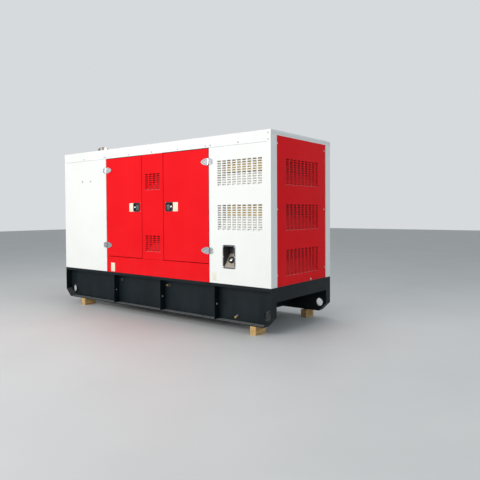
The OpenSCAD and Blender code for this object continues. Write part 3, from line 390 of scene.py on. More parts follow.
def lathe(profile, sides=24):
    """A closed form turned about Z from (radius, height) points; its ends may lie on the axis."""
    verts, faces, rows = [], [], []
    for radius, height in profile:
        if radius < 1e-7:
            rows.append([len(verts)])
            verts.append((0, 0, height))
        else:
            rows.append(list(range(len(verts), len(verts) + sides)))
            for i in range(sides):
                a = math.tau * i / sides
                verts.append((radius * math.cos(a), radius * math.sin(a), height))
    for low, high in zip(rows, rows[1:]):
        for i in range(sides):
            j = (i + 1) % sides
            quad = [low[i % len(low)], low[j % len(low)], high[j % len(high)], high[i % len(high)]]
            loop = list(dict.fromkeys(quad))
            if len(loop) > 2:
                faces.append(loop)
    return verts, faces


def soft_box(size, radius, segments=3):
    """A box centred on the origin with all edges rounded."""
    made = bmesh.new()
    bmesh.ops.create_cube(made, size=1, matrix=Matrix.Diagonal((*size, 1)))
    bmesh.ops.bevel(made, geom=list(made.edges), offset=radius, segments=segments, profile=0.5,
                    affect="EDGES")
    made.verts.index_update()
    form = [tuple(v.co) for v in made.verts], [[v.index for v in f.verts] for f in made.faces]
    made.free()
    return form


def smooth_line(points, steps):
    """A smooth curve through the points, in that many steps for each span."""
    pts = [Vector(p) for p in points]
    line = []
    for i in range(len(pts) - 1):
        before, after = pts[max(i - 1, 0)], pts[min(i + 2, len(pts) - 1)]
        a, b = (pts[i + 1] - before) / 2, (after - pts[i]) / 2
        for k in range(steps):
            t = k / steps
            line.append((2 * t**3 - 3 * t**2 + 1) * pts[i] + (t**3 - 2 * t**2 + t) * a
                        + (3 * t**2 - 2 * t**3) * pts[i + 1] + (t**3 - t**2) * b)
    return line + pts[-1:]


def tube(points, radius, sides=12, steps=6):
    """A pipe along a smooth curve through the points, with flat ends."""
    line = smooth_line(points, steps)
    verts, faces = [], []
    side = (line[1] - line[0]).orthogonal().normalized()
    for i, p in enumerate(line):
        ahead = (line[min(i + 1, len(line) - 1)] - line[max(i - 1, 0)]).normalized()
        side = (side - ahead * side.dot(ahead)).normalized()
        up = ahead.cross(side)
        for k in range(sides):
            a = math.tau * k / sides
            verts.append(tuple(p + radius * (math.cos(a) * side + math.sin(a) * up)))
    for i in range(len(line) - 1):
        for k in range(sides):
            j = (k + 1) % sides
            faces.append([i * sides + k, i * sides + j, (i + 1) * sides + j, (i + 1) * sides + k])
    faces.append(list(range(sides)))
    faces.append(list(range((len(line) - 1) * sides, len(line) * sides)))
    return verts, faces


def circle(centre, radius, count, turn=0.0):
    """Points once round a circle, the last one on the first; turn is in steps between points."""
    turns = [math.tau * (i + turn) / count for i in range(count + 1)]
    return [(centre[0] + radius * math.cos(a), centre[1] + radius * math.sin(a)) for a in turns]


def rounded_loop(half_w, half_h, radius, steps=5):
    """Points once round a rounded rectangle, the last one on the first."""
    loop = []
    for i, j, start in ((1, 1, 0), (-1, 1, 90), (-1, -1, 180), (1, -1, 270)):
        for k in range(steps + 1):
            a = math.radians(start + 90 * k / steps)
            loop.append((i * (half_w - radius) + radius * math.cos(a),
                         j * (half_h - radius) + radius * math.sin(a)))
    return loop + loop[:1]


def moved(to):
    return Matrix.Translation(to)


def facing(at, way, turn=0.0):
    """Places a form drawn along +Z at a point, pointing along way."""
    spin = Vector(UP).rotation_difference(Vector(way)).to_matrix().to_4x4()
    return moved(at) @ spin @ Matrix.Rotation(turn, 4, "Z")


def on_both_sides(points):
    """The places on the front, and the same on the back."""
    return ([(p, FRONT_WAY) for p in points]
            + [((p[0], -p[1], p[2]), BACK_WAY) for p in points])


def pairs(first, second):
    """Each of the first with each of the second."""
    return [(a, b) for a in first for b in second]


CORNERS = pairs((-1, 1), (-1, 1))

# Small forms, all drawn along +Z from their seat
HEX_BOLT = [
    lathe([(0, 0), (0.0105, 0), (0.0112, 0.0006), (0.0108, 0.0017), (0, 0.0017)]),
    lathe([(0, 0.001), (0.0083, 0.001), (0.0083, 0.0052), (0.0072, 0.0062), (0, 0.0062)], 6),
]
BUTTON_SCREW = [
    lathe([(0, 0), (0.0085, 0), (0.009, 0.0005), (0.0087, 0.0013), (0, 0.0013)]),
    lathe([(0, 0.001), (0.0064, 0.001), (0.0062, 0.0022), (0.0048, 0.0036), (0.0026, 0.0042),
           (0.0024, 0.0024), (0, 0.0024)], 18),
]
RIVET = [lathe([(0, 0), (0.0035, 0), (0.0033, 0.0009), (0.0018, 0.0015), (0, 0.0017)], 14)]
SMALL_BOLT = [
    lathe([(0, 0), (0.0085, 0), (0.0088, 0.0004), (0.0084, 0.0012), (0, 0.0012)], 18),
    lathe([(0, 0.0008), (0.0062, 0.0008), (0.0062, 0.005), (0.0052, 0.0058), (0, 0.0058)], 6),
]
GROMMET = [lathe([(0.012, 0.001), (0.012, 0), (0.021, 0), (0.0225, 0.002), (0.021, 0.0055),
                  (0.0165, 0.007), (0.013, 0.0055), (0.012, 0.001), (0, 0.001)], 28)]
PLUG = [lathe([(0, 0), (0.013, 0), (0.0135, 0.002), (0.012, 0.004), (0, 0.004)]),
        lathe([(0, 0.003), (0.0085, 0.003), (0.0085, 0.01), (0.0072, 0.0115), (0, 0.0115)], 6)]
VALVE_BODY = lathe([(0, 0), (0.012, 0), (0.012, 0.003), (0.008, 0.0045), (0.008, 0.018),
                    (0.01, 0.019), (0.01, 0.026), (0.006, 0.0275), (0, 0.0275)], 20)
KEY_BARREL = lathe([(0, 0), (0.0105, 0), (0.0112, 0.0008), (0.0108, 0.0022), (0.0088, 0.003),
                    (0.0078, 0.0024), (0, 0.0024)], 28)
FOAM_STUD = [lathe([(0, 0), (0.017, 0), (0.0178, 0.0006), (0.017, 0.0013), (0.006, 0.0018),
                    (0.0045, 0.0034), (0.002, 0.004), (0, 0.004)])]


def fasten(name, forms, places, finish="zinc", body=ENCLOSURE, slot="hinge_metal"):
    """Copies of a fastener at (point, way) places, each turned at random, as driven by hand."""
    rng = random.Random(name)
    made = Parts()
    for at, way in places:
        matrix = facing(at, way, rng.uniform(0, math.tau))
        for form in forms:
            made.add(form, matrix)
    return made.finish(name, slot, finish, body)


# Fasteners of the canopy
FLANGE_BOLTS = (447, 876, 905, 1364, 1773, 2200, 2619, 2689, 3065, 3439)
flange = [(from_left(d), FRONT, above_deck(1460)) for d in FLANGE_BOLTS]
flange.append((from_left(3438), FRONT, above_deck(1523)))
fasten("roof_flange_bolts", BUTTON_SCREW, on_both_sides(flange), "dull_zinc")
anchors = [(from_left(d), FRONT, above_deck(z)) for d, z in ((407, 1166), (584, 1164))]
fasten("left_panel_bolts", HEX_BOLT, on_both_sides(anchors), "dull_zinc")
END_SCREWS = ((120, 1430), (120, 776), (116, 118), (1066, 1437), (1064, 778), (1079, 119))
end_places = []
for across, height in END_SCREWS:
    y, z = FRONT + across / 1000, above_deck(height)
    end_places += [((END_FACE, y, z), RIGHT_WAY), ((-END_FACE, -y, z), LEFT_WAY)]
fasten("end_panel_screws", BUTTON_SCREW, end_places)
fasten("earth_stud", HEX_BOLT, [((END_FACE, FRONT + 0.766, above_deck(16)), RIGHT_WAY)])

# Fittings of the base rails
STIFFENERS, STIFFENER_T = (1040, 1887, 2727), 8
BOLT_OUT = 0.045  # bolts of the stiffeners, from the web
web_bolts, grommets, plugs, valves = [], [], [], Parts()
for way, y in RAILS:
    for d in STIFFENERS:
        bolt = from_left(d + STIFFENER_T), y + way[1] * BOLT_OUT, above_deck(-229)
        web_bolts.append((bolt, RIGHT_WAY))
    grommets += [((from_left(d), y, above_deck(-100)), way) for d in (1108, 1968)]
    plugs += [((from_left(d), y, above_deck(z)), way) for d, z in ((1928, -103), (2954, -356))]
    seat = Vector((from_left(2984), y, above_deck(-334)))
    valves.add(VALVE_BODY, facing(seat, way))
    lever = seat + Vector((0.01, way[1] * 0.029, 0.003))
    valves.add(soft_box((0.036, 0.004, 0.01), 0.0018), moved(lever))
fasten("stiffener_bolts", HEX_BOLT, web_bolts)
fasten("cable_grommets", GROMMET, grommets, "rubber", slot="black_plastic")
fasten("drain_plugs", PLUG, plugs, "brass")
valves.finish("drain_valves", "hinge_metal", "cast_metal")

# Weld beads where the stiffeners and the lifting collars meet the web
LIFTING_HOLE_X, LIFTING_HOLE_Z, COLLAR_R = 1.643, 0.19, 0.0545
beads = Parts()
rng = random.Random(7)
for way, web in RAILS:
    for d in STIFFENERS:
        for edge in (-0.0005, STIFFENER_T / 1000 + 0.0005):
            x, y = from_left(d) + edge, web + way[1] * 0.001
            bead = [(x + rng.uniform(-0.0006, 0.0006), y, z / 1000) for z in range(120, 440, 10)]
            beads.add(tube(bead, 0.0032, 6, 1))
    for side in (-1, 1):
        collar = circle((side * LIFTING_HOLE_X, LIFTING_HOLE_Z), COLLAR_R, 48)
        beads.add(tube([(x, web + way[1] * 0.0005, z) for x, z in collar], 0.003, 6, 1))
beads.finish("rail_weld_beads", "base_paint")


# Blank plates
def plate(name, x0, x1, z0, z1, body=ENCLOSURE):
    """A thin blank plate with round corners and four rivets; its edges are in millimetres."""
    width, height = (x1 - x0) / 1000, (z1 - z0) / 1000
    x, z = from_left((x0 + x1) / 2), above_deck((z0 + z1) / 2)
    Parts().add(soft_box((width, 0.0014, height), 0.0006, 2), moved((x, FRONT - 0.0006, z))).finish(
        name, "white_paint", "cream_plate", body)
    rivets = [((x + i * (width / 2 - 0.006), FRONT - 0.0012, z + j * (height / 2 - 0.006)), FRONT_WAY)
              for i, j in CORNERS]
    fasten(name + "_rivets", RIVET, rivets, body=body)


plate("left_door_plate", 1364, 1434, 764, 866, "left_door")
plate("right_door_plate", 2121, 2199, 764, 866, "right_door")
plate("sill_plate", 996, 1072, 8, 118)
plate("panel_plate", 2712, 2762, 27, 108)


# Door furniture
def lock_furniture(name, centre, toward_hinge, out, door, paddle):
    """Key barrel, corner rivets and the ribbed grip of a paddle; out is the way the door faces."""
    def at(dx, dz, stand):
        return Vector((centre + dx, out[1] * (BACK + stand), LOCK_Z + dz))

    key_x, grip_x = toward_hinge * 0.034, -toward_hinge * 0.015
    Parts().add(KEY_BARREL, facing(at(key_x, 0, 0.001), out)).finish(
        name + "_key_barrel", "hinge_metal", body=door)
    Parts().add(soft_box((0.0016, 0.009, 0.001), 0.0003, 1), facing(at(key_x, 0, 0.0036), out)).finish(
        name + "_key_slot", "black_plastic", body=door)
    rivets = [(at(i * 0.0545, j * 0.0485, 0.0025), out) for i, j in CORNERS]
    fasten(name + "_lock_rivets", RIVET, rivets, body=door)
    grip = Parts().add(soft_box((0.05, 0.0035, 0.06), 0.0016), moved(at(grip_x, -0.006, 0.0008)))
    for k in range(5):
        grip.add(soft_box((0.04, 0.003, 0.0032), 0.0012), moved(at(grip_x, -0.03 + k * 0.0075, 0.0026)))
    grip.finish(name + "_paddle_grip", "black_plastic", "grey_plastic", paddle)


for side, lock_x in LOCK_X.items():
    lock_furniture(side, lock_x, TOWARD_HINGE[side], FRONT_WAY, side + "_door", side + "_paddle")
    lock_furniture("back_" + side, lock_x, TOWARD_HINGE[side], BACK_WAY, ENCLOSURE, ENCLOSURE)

# Rubber seals round the inner faces of the doors
SEAL_INSET, SEAL_CORNER, SEAL_R = 0.016, 0.03, 0.0032
SEAL_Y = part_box("left_door")[1].y + 0.0028
for door in ("left_door", "right_door"):
    low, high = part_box(door)
    middle, half = (low + high) / 2, (high - low) / 2
    loop = rounded_loop(half.x - SEAL_INSET, half.z - SEAL_INSET, SEAL_CORNER, 6)
    Parts().add(tube([(middle.x + a, SEAL_Y, middle.z + c) for a, c in loop], SEAL_R, 8, 1)).finish(
        door + "_seal", "black_plastic", "rubber", door)

# Filler
fill_low, fill_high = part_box("filler_recess")
FILL_X, FILL_Z = (fill_low.x + fill_high.x) / 2, (fill_low.z + fill_high.z) / 2
rim = [((FILL_X + i * 0.0785, FRONT - 0.003, FILL_Z + k * 0.112), FRONT_WAY)
       for i, k in pairs((-1, 1), (-0.93, 0, 0.93))]
fasten("filler_screws", BUTTON_SCREW, rim, "hinge_metal")
lip = [(FILL_X + a, FRONT - 0.0036, FILL_Z + c) for a, c in rounded_loop(0.0735, 0.1125, 0.004)]
Parts().add(tube(lip, 0.0022, 8, 1)).finish("filler_lip", "black_plastic", "mid_plastic")

# Dome and grip of the cap, which stands on the sloped plate of the recess
slope_low, slope_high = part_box("filler_back")
cap_foot = Vector((FILL_X, (slope_low.y + slope_high.y) / 2, (slope_low.z + slope_high.z) / 2))
cap_way = Vector((0, slope_low.z - slope_high.z, slope_high.y - slope_low.y)).normalized()
on_cap = facing(cap_foot, cap_way)
Parts().add(lathe([(0.019, 0.0262), (0.0232, 0.0264), (0.024, 0.0275), (0.0225, 0.0302),
                   (0.0165, 0.0325), (0.008, 0.0335), (0, 0.0338), (0, 0.0262)], 40), on_cap).finish(
    "fuel_cap_dome", "hinge_metal")
CAP_RIBS = 28
grip = Parts()
for i in range(CAP_RIBS):
    rib = Matrix.Rotation(math.tau * i / CAP_RIBS, 4, "Z") @ moved((0.0351, 0, 0.0196))
    grip.add(soft_box((0.0026, 0.0038, 0.011), 0.0009, 2), on_cap @ rib)
grip.add(lathe([(0.0275, 0.0005), (0.0345, 0.0005), (0.0352, 0.002), (0.0345, 0.0045),
                (0.0275, 0.005), (0.0275, 0.0005)], 40), on_cap)
grip.finish("fuel_cap_grip", "black_plastic")


# Sound foam
DIMPLE, DIMPLE_R = 0.35, 0.028  # share of the thickness that a stud presses in, and its reach
QUILT_PITCH = 0.044


def grid_lines(start, end, marks, step):
    """Grid lines from start to end through each mark between them, no further apart than step."""
    stops = sorted({round(v, 6) for v in (start, end, *marks) if start < v + 1e-9 and v < end + 1e-9})
    made = stops[:1]
    for a, b in zip(stops, stops[1:]):
        count = max(1, math.ceil((b - a) / step - 1e-6))
        made += [a + (b - a) * k / count for k in range(1, count + 1)]
    return made


def foam_pad(low, high, thick, place, holes=(), studs=(), wave=0.0, step=0.02, soft=0.009):
    """A pad of glued foam: soft edges, windows, and dimples where studs hold it.

    low, high and holes are in the plane of the pad, and place(a, z, depth) puts a point into
    the model, with depth counted from the glued face.
    """
    across = [low[0], high[0]] + [v for h in holes for v in (h[0], h[2])]
    upright = [low[1], high[1]] + [v for h in holes for v in (h[1], h[3])]

    def near(edges):
        return [e + s * soft for e in edges for s in (-1, -0.5, -0.15, 0, 0.15, 0.5, 1)]

    grid_a = grid_lines(low[0], high[0], near(across), step)
    grid_z = grid_lines(low[1], high[1], near(upright), step)

    def inside(a, z):
        return not any(h[0] < a < h[2] and h[1] < z < h[3] for h in holes)

    def depth(a, z):
        gap = min(a - low[0], high[0] - a, z - low[1], high[1] - z)
        for h in holes:
            gap = min(gap, math.hypot(max(h[0] - a, a - h[2], 0), max(h[1] - z, z - h[3], 0)))
        back = soft - math.sqrt(max(0, soft**2 - max(0, soft - gap) ** 2))
        for sa, sz in studs:
            back += DIMPLE * thick * math.exp(-((a - sa) ** 2 + (z - sz) ** 2) / DIMPLE_R**2)
        quilt = math.cos(math.tau * a / QUILT_PITCH) * math.cos(math.tau * z / QUILT_PITCH)
        back += wave * 0.5 * (1 - quilt)
        return thick - back - 0.0006 - 0.0005 * blob.noise(Vector((a, z, 0)) * 18)

    verts, index, faces = [], {}, []

    def vert(i, j, top):
        if (i, j, top) not in index:
            a, z = grid_a[i], grid_z[j]
            index[i, j, top] = len(verts)
            verts.append(place(a, z, depth(a, z) if top else 0.0))
        return index[i, j, top]

    live = {(i, j) for i in range(len(grid_a) - 1) for j in range(len(grid_z) - 1)
            if inside((grid_a[i] + grid_a[i + 1]) / 2, (grid_z[j] + grid_z[j + 1]) / 2)}
    for i, j in sorted(live):
        loop = ((i, j), (i + 1, j), (i + 1, j + 1), (i, j + 1))
        faces.append([vert(*p, True) for p in loop])
        faces.append([vert(*p, False) for p in reversed(loop)])
        beside = (((i, j - 1), loop[0], loop[1]), ((i + 1, j), loop[1], loop[2]),
                  ((i, j + 1), loop[2], loop[3]), ((i - 1, j), loop[3], loop[0]))
        for other, p, q in beside:
            if other not in live:
                faces.append([vert(*p, False), vert(*q, False), vert(*q, True), vert(*p, True)])
    return verts, faces


def stud_grid(low, high, columns, rows, holes=()):
    """Stud places spread evenly over a pad, left out near its windows."""
    made = []
    for i, j in pairs(range(columns), range(rows)):
        a = low[0] + (high[0] - low[0]) * (i + 0.5) / columns
        z = low[1] + (high[1] - low[1]) * (j + 0.5) / rows
        if not any(h[0] - 0.03 < a < h[2] + 0.03 and h[1] - 0.03 < z < h[3] + 0.03 for h in holes):
            made.append((a, z))
    return made


def stud_places(studs, thick, place, way):
    """Studs on the bottoms of their dimples."""
    return [(place(a, z, thick * (1 - DIMPLE) - 0.0012), way) for a, z in studs]


def on_side(sign, glued, grow=-1):
    """Places a pad on a long side, glued at a distance from the middle; grow is 1 for outwards."""
    return lambda a, z, depth: (a, sign * (glued + grow * depth), z)


def on_end(sign, glued, grow=-1):
    """The same on an end."""
    return lambda a, z, depth: (sign * (glued + grow * depth), a, z)


def window(a, z, size):
    return a - size[0] / 2, z - size[1] / 2, a + size[0] / 2, z + size[1] / 2


def soft_cover(pad, covered):
    """Lets a foam form stand for its plain solid."""
    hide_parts(covered)


# Pads on the walls, with windows where the vent pockets and the filler pass
VENT_SIZE, END_VENT_SIZE = (0.605, 0.289), (0.669, 0.289)
FILLER_SIZE, LOCK_SIZE = (0.168, 0.246), (0.12, 0.108)
SHEET_T, SIDE_PAD_T, END_PAD_T, END_PAD_HALF = 0.003, 0.038, 0.033, 0.444
PAD_FOOT, PAD_TOP, END_PAD_TOP = above_deck(49), above_deck(1388), above_deck(1460)
wall_foam, wall_studs = Parts(), []


def wall_pad(low, high, thick, place, way, holes, columns, rows):
    studs = stud_grid(low, high, columns, rows, holes)
    wall_foam.add(foam_pad(low, high, thick, place, holes, studs))
    wall_studs.extend(stud_places(studs, thick, place, way))


for sign in (-1, 1):
    side_wall, end_wall = on_side(sign, BACK - SHEET_T), on_end(sign, END_FACE - SHEET_T)
    holes = [window(VENT_X, z, VENT_SIZE) for z in BIG_VENTS]
    if sign < 0:
        holes.append(window(FILL_X, FILL_Z, FILLER_SIZE))
    wall_pad((from_left(49), PAD_FOOT), (from_left(865), PAD_TOP), SIDE_PAD_T, side_wall,
             (0, -sign, 0), (), 4, 6)
    wall_pad((from_left(2714), PAD_FOOT), (from_left(3421), PAD_TOP), SIDE_PAD_T, side_wall,
             (0, -sign, 0), holes, 4, 7)
    wall_pad((-END_PAD_HALF, PAD_FOOT), (END_PAD_HALF, END_PAD_TOP), END_PAD_T, end_wall,
             (-sign, 0, 0), [window(0, z, END_VENT_SIZE) for z in END_VENTS], 5, 8)
soft_cover(wall_foam.finish("wall_foam", "foam", sharp=50), "linings")
fasten("wall_foam_studs", FOAM_STUD, wall_studs)

# Quilted pads on the backs of the vent pockets
POCKET_BACK, POCKET_PAD_T, POCKET_PAD_FOOT = 0.15, 0.025, 0.014
pads, red_pads = Parts(), Parts()
for sign in (-1, 1):
    side_pocket = on_side(sign, BACK - POCKET_BACK, 1)
    end_pocket = on_end(sign, END_FACE - POCKET_BACK, 1)
    for made, centre, half, heights, top, place in (
            (pads, VENT_X, 0.2972, BIG_VENTS, 0.1392, side_pocket),
            (red_pads, SMALL_VENT_X, 0.1322, SMALL_VENTS, 0.1023, side_pocket),
            (red_pads, 0, 0.3292, END_VENTS, 0.1392, end_pocket)):
        for z in heights:
            made.add(foam_pad((centre - half, z + POCKET_PAD_FOOT), (centre + half, z + top),
                              POCKET_PAD_T, place, wave=0.007, step=0.0075, soft=0.005))
# The pads behind the white vents take the brighter copy of the foam: painted light.
soft_cover(pads.finish("vent_pads", "foam", "bright_foam", sharp=50), "vent_foam")
# The pads behind the red vents take the dark red copy of the foam: painted shade.
soft_cover(red_pads.finish("red_vent_pads", "dark_foam", sharp=50), "red_vent_foam")

# Pads in the trays of the doors; the back doors have no solid lining of their own
for side, lock_x in LOCK_X.items():
    door = side + "_door"
    low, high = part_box(door + "_lining")
    corners, thick = ((low.x, low.z), (high.x, high.z)), high.y - low.y
    hole = [window(lock_x, LOCK_Z, LOCK_SIZE)]
    studs = stud_grid(*corners, 3, 5, hole)
    for name, body, sign, step in ((door, door, -1, 0.016), ("back_" + door, ENCLOSURE, 1, 0.02)):
        place = on_side(sign, -low.y)
        pad = Parts().add(foam_pad(*corners, thick, place, hole, studs, step=step)).finish(
            name + "_foam", "foam", body=body, sharp=50)
        if name == door:
            soft_cover(pad, door + "_lining")
        dimples = stud_places(studs, thick, place, (0, -sign, 0))
        fasten(name + "_foam_studs", FOAM_STUD, dimples, body=body)

# Rolled lower edges of the red vents, in a paler red that paints a highlight along them
EDGE_OUT = 0.0002
edges = Parts()
for sign in (-1, 1):
    for z in SMALL_VENTS:
        edges.add(soft_box((0.26, 0.0026, 0.0034), 0.0012),
                  moved((SMALL_VENT_X, sign * (BACK + EDGE_OUT), z - 0.0955)))
    for z in END_VENTS:
        edges.add(soft_box((0.0026, 0.652, 0.0034), 0.0012),
                  moved((sign * (END_FACE + EDGE_OUT), 0, z - 0.1325)))
edges.finish("red_vent_edges", "red_paint", "red_edge_highlight")

# Roof outlet
OUTLET, OUTLET_R, OUTLET_BOLT_R = (-1.405, -0.2), 0.074, 0.0875
bolts = circle(OUTLET, OUTLET_BOLT_R, 6, 0.5)[:-1]
fasten("outlet_bolts", SMALL_BOLT, [((x, y, ROOF_Z + 0.003), UP) for x, y in bolts])
weld = [(x, y, ROOF_Z + 0.0045 + 0.0004 * math.sin(i * 2.4))
        for i, (x, y) in enumerate(circle(OUTLET, OUTLET_R + 0.0012, 48))]
Parts().add(tube(weld, 0.0026, 8, 1)).finish("outlet_weld", "outlet_steel")


# Machine inside: bolts round the turbine and the generator
def bolt_circle(x, way, radius, count, turn=0.0):
    """Bolt places round the shaft."""
    return [((x, y, z), way) for y, z in circle((0, SHAFT_Z), radius, count, turn)[:-1]]


TURBINE_FLANGES = ((-0.2076, RIGHT_WAY, 0.195, 16), (-0.3715, LEFT_WAY, 0.21, 20),
                   (-0.642, RIGHT_WAY, 0.217, 20), (-0.661, LEFT_WAY, 0.22, 20),
                   (-0.779, RIGHT_WAY, 0.235, 20, 0.5))
GENERATOR_ENDS = ((0.2812, RIGHT_WAY, 0.2755, 24), (0.7904, LEFT_WAY, 0.2755, 24))
fasten("turbine_flange_bolts", SMALL_BOLT, [p for f in TURBINE_FLANGES for p in bolt_circle(*f)])
fasten("generator_frame_bolts", SMALL_BOLT, [p for f in GENERATOR_ENDS for p in bolt_circle(*f)])

# Fuel feed from the deck to the ring pipe, held by two clips
FEED_X, FEED_Y = -0.482, -0.3175
FEED_PATH = ((FEED_Y, DECK), (FEED_Y, 0.7), (FEED_Y, 0.9), (-0.316, 1.0), (-0.305, 1.06),
             (-0.268, 1.105), (-0.2625, 1.125))
feed = Parts().add(tube([(FEED_X, y, z) for y, z in FEED_PATH], 0.0065))
for z in (0.56, 0.86):
    feed.add(soft_box((0.03, 0.02, 0.012), 0.003), moved((FEED_X, FEED_Y, z)))
feed.finish("turbine_fuel_pipe", "turbine_metal", "zinc")

# Igniters with their leads
IGNITER = lathe([(0, -0.01), (0.014, -0.01), (0.014, 0.012), (0.009, 0.014), (0.009, 0.034),
                 (0.011, 0.035), (0.011, 0.046), (0.004, 0.05), (0, 0.05)], 18)
igniters = Parts()
for side in (-1, 1):
    at = Vector((-0.545, side * 0.196, SHAFT_Z + 0.12))
    way = Vector((0, side * 0.85, 0.53)).normalized()
    igniters.add(IGNITER, facing(at, way))
    tip = at + way * 0.048
    igniters.add(tube([tip, tip + way * 0.03, tip + Vector((0.03, side * 0.03, 0.01)),
                       tip + Vector((0.08, side * 0.01, -0.06)), (-0.42, side * 0.262, SHAFT_Z - 0.1),
                       (-0.4, side * 0.29, 0.8), (-0.4, side * 0.28, 0.645)], 0.0042, 10, 5))
igniters.finish("turbine_igniters", "black_plastic", "rubber")

# Generator: lifting eye, and the covers and screws of its terminal box
EYE_X, EYE_R = 0.266, 0.024
eye = Parts().add(lathe([(0, -0.004), (0.02, -0.004), (0.02, 0.006), (0.012, 0.012), (0.012, 0.02),
                         (0, 0.02)], 20), facing((EYE_X, 0, SHAFT_Z + 0.29), UP))
eye.add(tube([(EYE_X, y, z) for y, z in circle((0, SHAFT_Z + 0.33), EYE_R, 28)], 0.0072, 12, 1))
eye.finish("generator_lifting_eye", "machine_paint")
BOX_X, COVER_Z, LID_Z = 0.547, 1.515, 1.612
fasten("terminal_lid_screws", BUTTON_SCREW,
       [((x, y, LID_Z), UP) for x, y in pairs((0.368, BOX_X, 0.727), (-0.142, 0.142))])
covers, cover_screws = Parts(), []
for sign in (-1, 1):
    covers.add(soft_box((0.3, 0.006, 0.13), 0.0028), moved((BOX_X, sign * 0.1515, COVER_Z)))
    covers.add(soft_box((0.09, 0.004, 0.05), 0.0018), moved((BOX_X, sign * 0.1555, COVER_Z)))
    cover_screws += [((BOX_X + i * 0.136, sign * 0.1545, COVER_Z + j * 0.052), (0, sign, 0))
                     for i, j in CORNERS]
covers.finish("terminal_box_covers", "machine_paint")
fasten("terminal_cover_screws", BUTTON_SCREW, cover_screws)

# Power conduits from the terminal box to the cabinet
GLAND = lathe([(0, 0), (0.021, 0), (0.021, 0.012), (0.017, 0.016), (0.0155, 0.026), (0, 0.026)], 6)
conduits, glands = Parts(), Parts()
for i in range(4):
    y = -0.09 + 0.06 * i
    z = 1.5 + 0.008 * (i % 2)
    y_end = -0.06 + 0.09 * i
    drift = 0.1 * (y_end - y)
    path = [(0.74, y, z), (0.8, y, z), (0.88, y + drift, z + 0.012), (0.98, (y + y_end) / 2, z + 0.02),
            (1.08, y_end - drift, z + 0.012), (1.14, y_end, z), (1.183, y_end, z)]
    conduits.add(tube(path, 0.0125, 14))
    glands.add(GLAND, facing((0.737, y, z), RIGHT_WAY))
    glands.add(GLAND, facing((1.1845, y_end, z), LEFT_WAY))
conduits.finish("power_conduits", "black_plastic", "rubber")
glands.finish("conduit_glands", "black_plastic", "grey_plastic")

# Gearbox: breather on top, a sight glass on each side
GEARBOX_X = 0.105
gear = Parts()
gear.add(lathe([(0, -0.004), (0.018, -0.004), (0.018, 0.006), (0.011, 0.008), (0.011, 0.02),
                (0.021, 0.022), (0.023, 0.03), (0.021, 0.038), (0.012, 0.042), (0, 0.043)]),
         facing((GEARBOX_X, 0, SHAFT_Z + 0.188), UP))
for sign in (-1, 1):
    gear.add(lathe([(0, -0.003), (0.022, -0.003), (0.022, 0.004), (0.017, 0.007), (0.0125, 0.0055),
                    (0.0125, 0.003), (0, 0.003)]), facing((GEARBOX_X, sign * 0.235, 0.93), (0, sign, 0)))
gear.finish("gearbox_fittings", "cast_metal", "zinc")

# Screws down the edges of the intake housing
intake_low, intake_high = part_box("intake_housing")
fasten("intake_screws", BUTTON_SCREW, [
    ((x, sign * intake_high.y, intake_high.z - down), (0, sign, 0)) for sign in (-1, 1)
    for x, down in pairs((intake_low.x + 0.014, intake_high.x - 0.014), (0.02, 0.2, 0.38))])

# Silencer: clamping bands with their latches
DRUM_X = from_left(408)
bands = Parts()
for z in (0.86, 1.4):
    bands.add(lathe([(0.2095, z - 0.014), (0.2118, z - 0.014), (0.2124, z - 0.01), (0.2124, z + 0.01),
                     (0.2118, z + 0.014), (0.2095, z + 0.014), (0.2095, z - 0.014)], 64),
              moved((DRUM_X, 0, 0)))
    bands.add(soft_box((0.05, 0.012, 0.03), 0.004), moved((DRUM_X, -0.2165, z)))
    bands.add(tube([(DRUM_X - 0.04, -0.2235, z), (DRUM_X + 0.04, -0.2235, z)], 0.004, 10, 2))
bands.finish("silencer_bands", "hinge_metal", "zinc")

# Control cabinet: door handle, hinges, gauges with plain marks, and lamps
cabinet_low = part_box("control_cabinet")[0]
CAB_X, HANDLE_Y = cabinet_low.x, 0.35
handle = Parts()
handle.add(soft_box((0.008, 0.03, 0.14), 0.0035), moved((CAB_X - 0.003, HANDLE_Y, 1.05)))
handle.add(soft_box((0.014, 0.018, 0.1), 0.006), moved((CAB_X - 0.018, HANDLE_Y, 1.065)))
handle.add(lathe([(0, 0), (0.008, 0), (0.008, 0.014), (0, 0.014)], 16),
           facing((CAB_X - 0.005, HANDLE_Y, 1.095), LEFT_WAY))
handle.finish("cabinet_handle", "black_plastic")
hinges = Parts()
for z in (0.68, 1.06, 1.44):
    hinges.add(lathe([(0, -0.03), (0.0062, -0.03), (0.007, -0.029), (0.007, 0.029), (0.0062, 0.03),
                      (0, 0.03)], 16), moved((CAB_X - 0.005, cabinet_low.y + 0.012, z)))
    hinges.add(soft_box((0.004, 0.03, 0.05), 0.0015), moved((CAB_X + 0.001, cabinet_low.y + 0.026, z)))
hinges.finish("cabinet_hinges", "hinge_metal", "zinc")
GAUGE_Z, GAUGE_STEP = 1.34, 0.1
rims, faces, marks, lamps = Parts(), Parts(), Parts(), Parts()
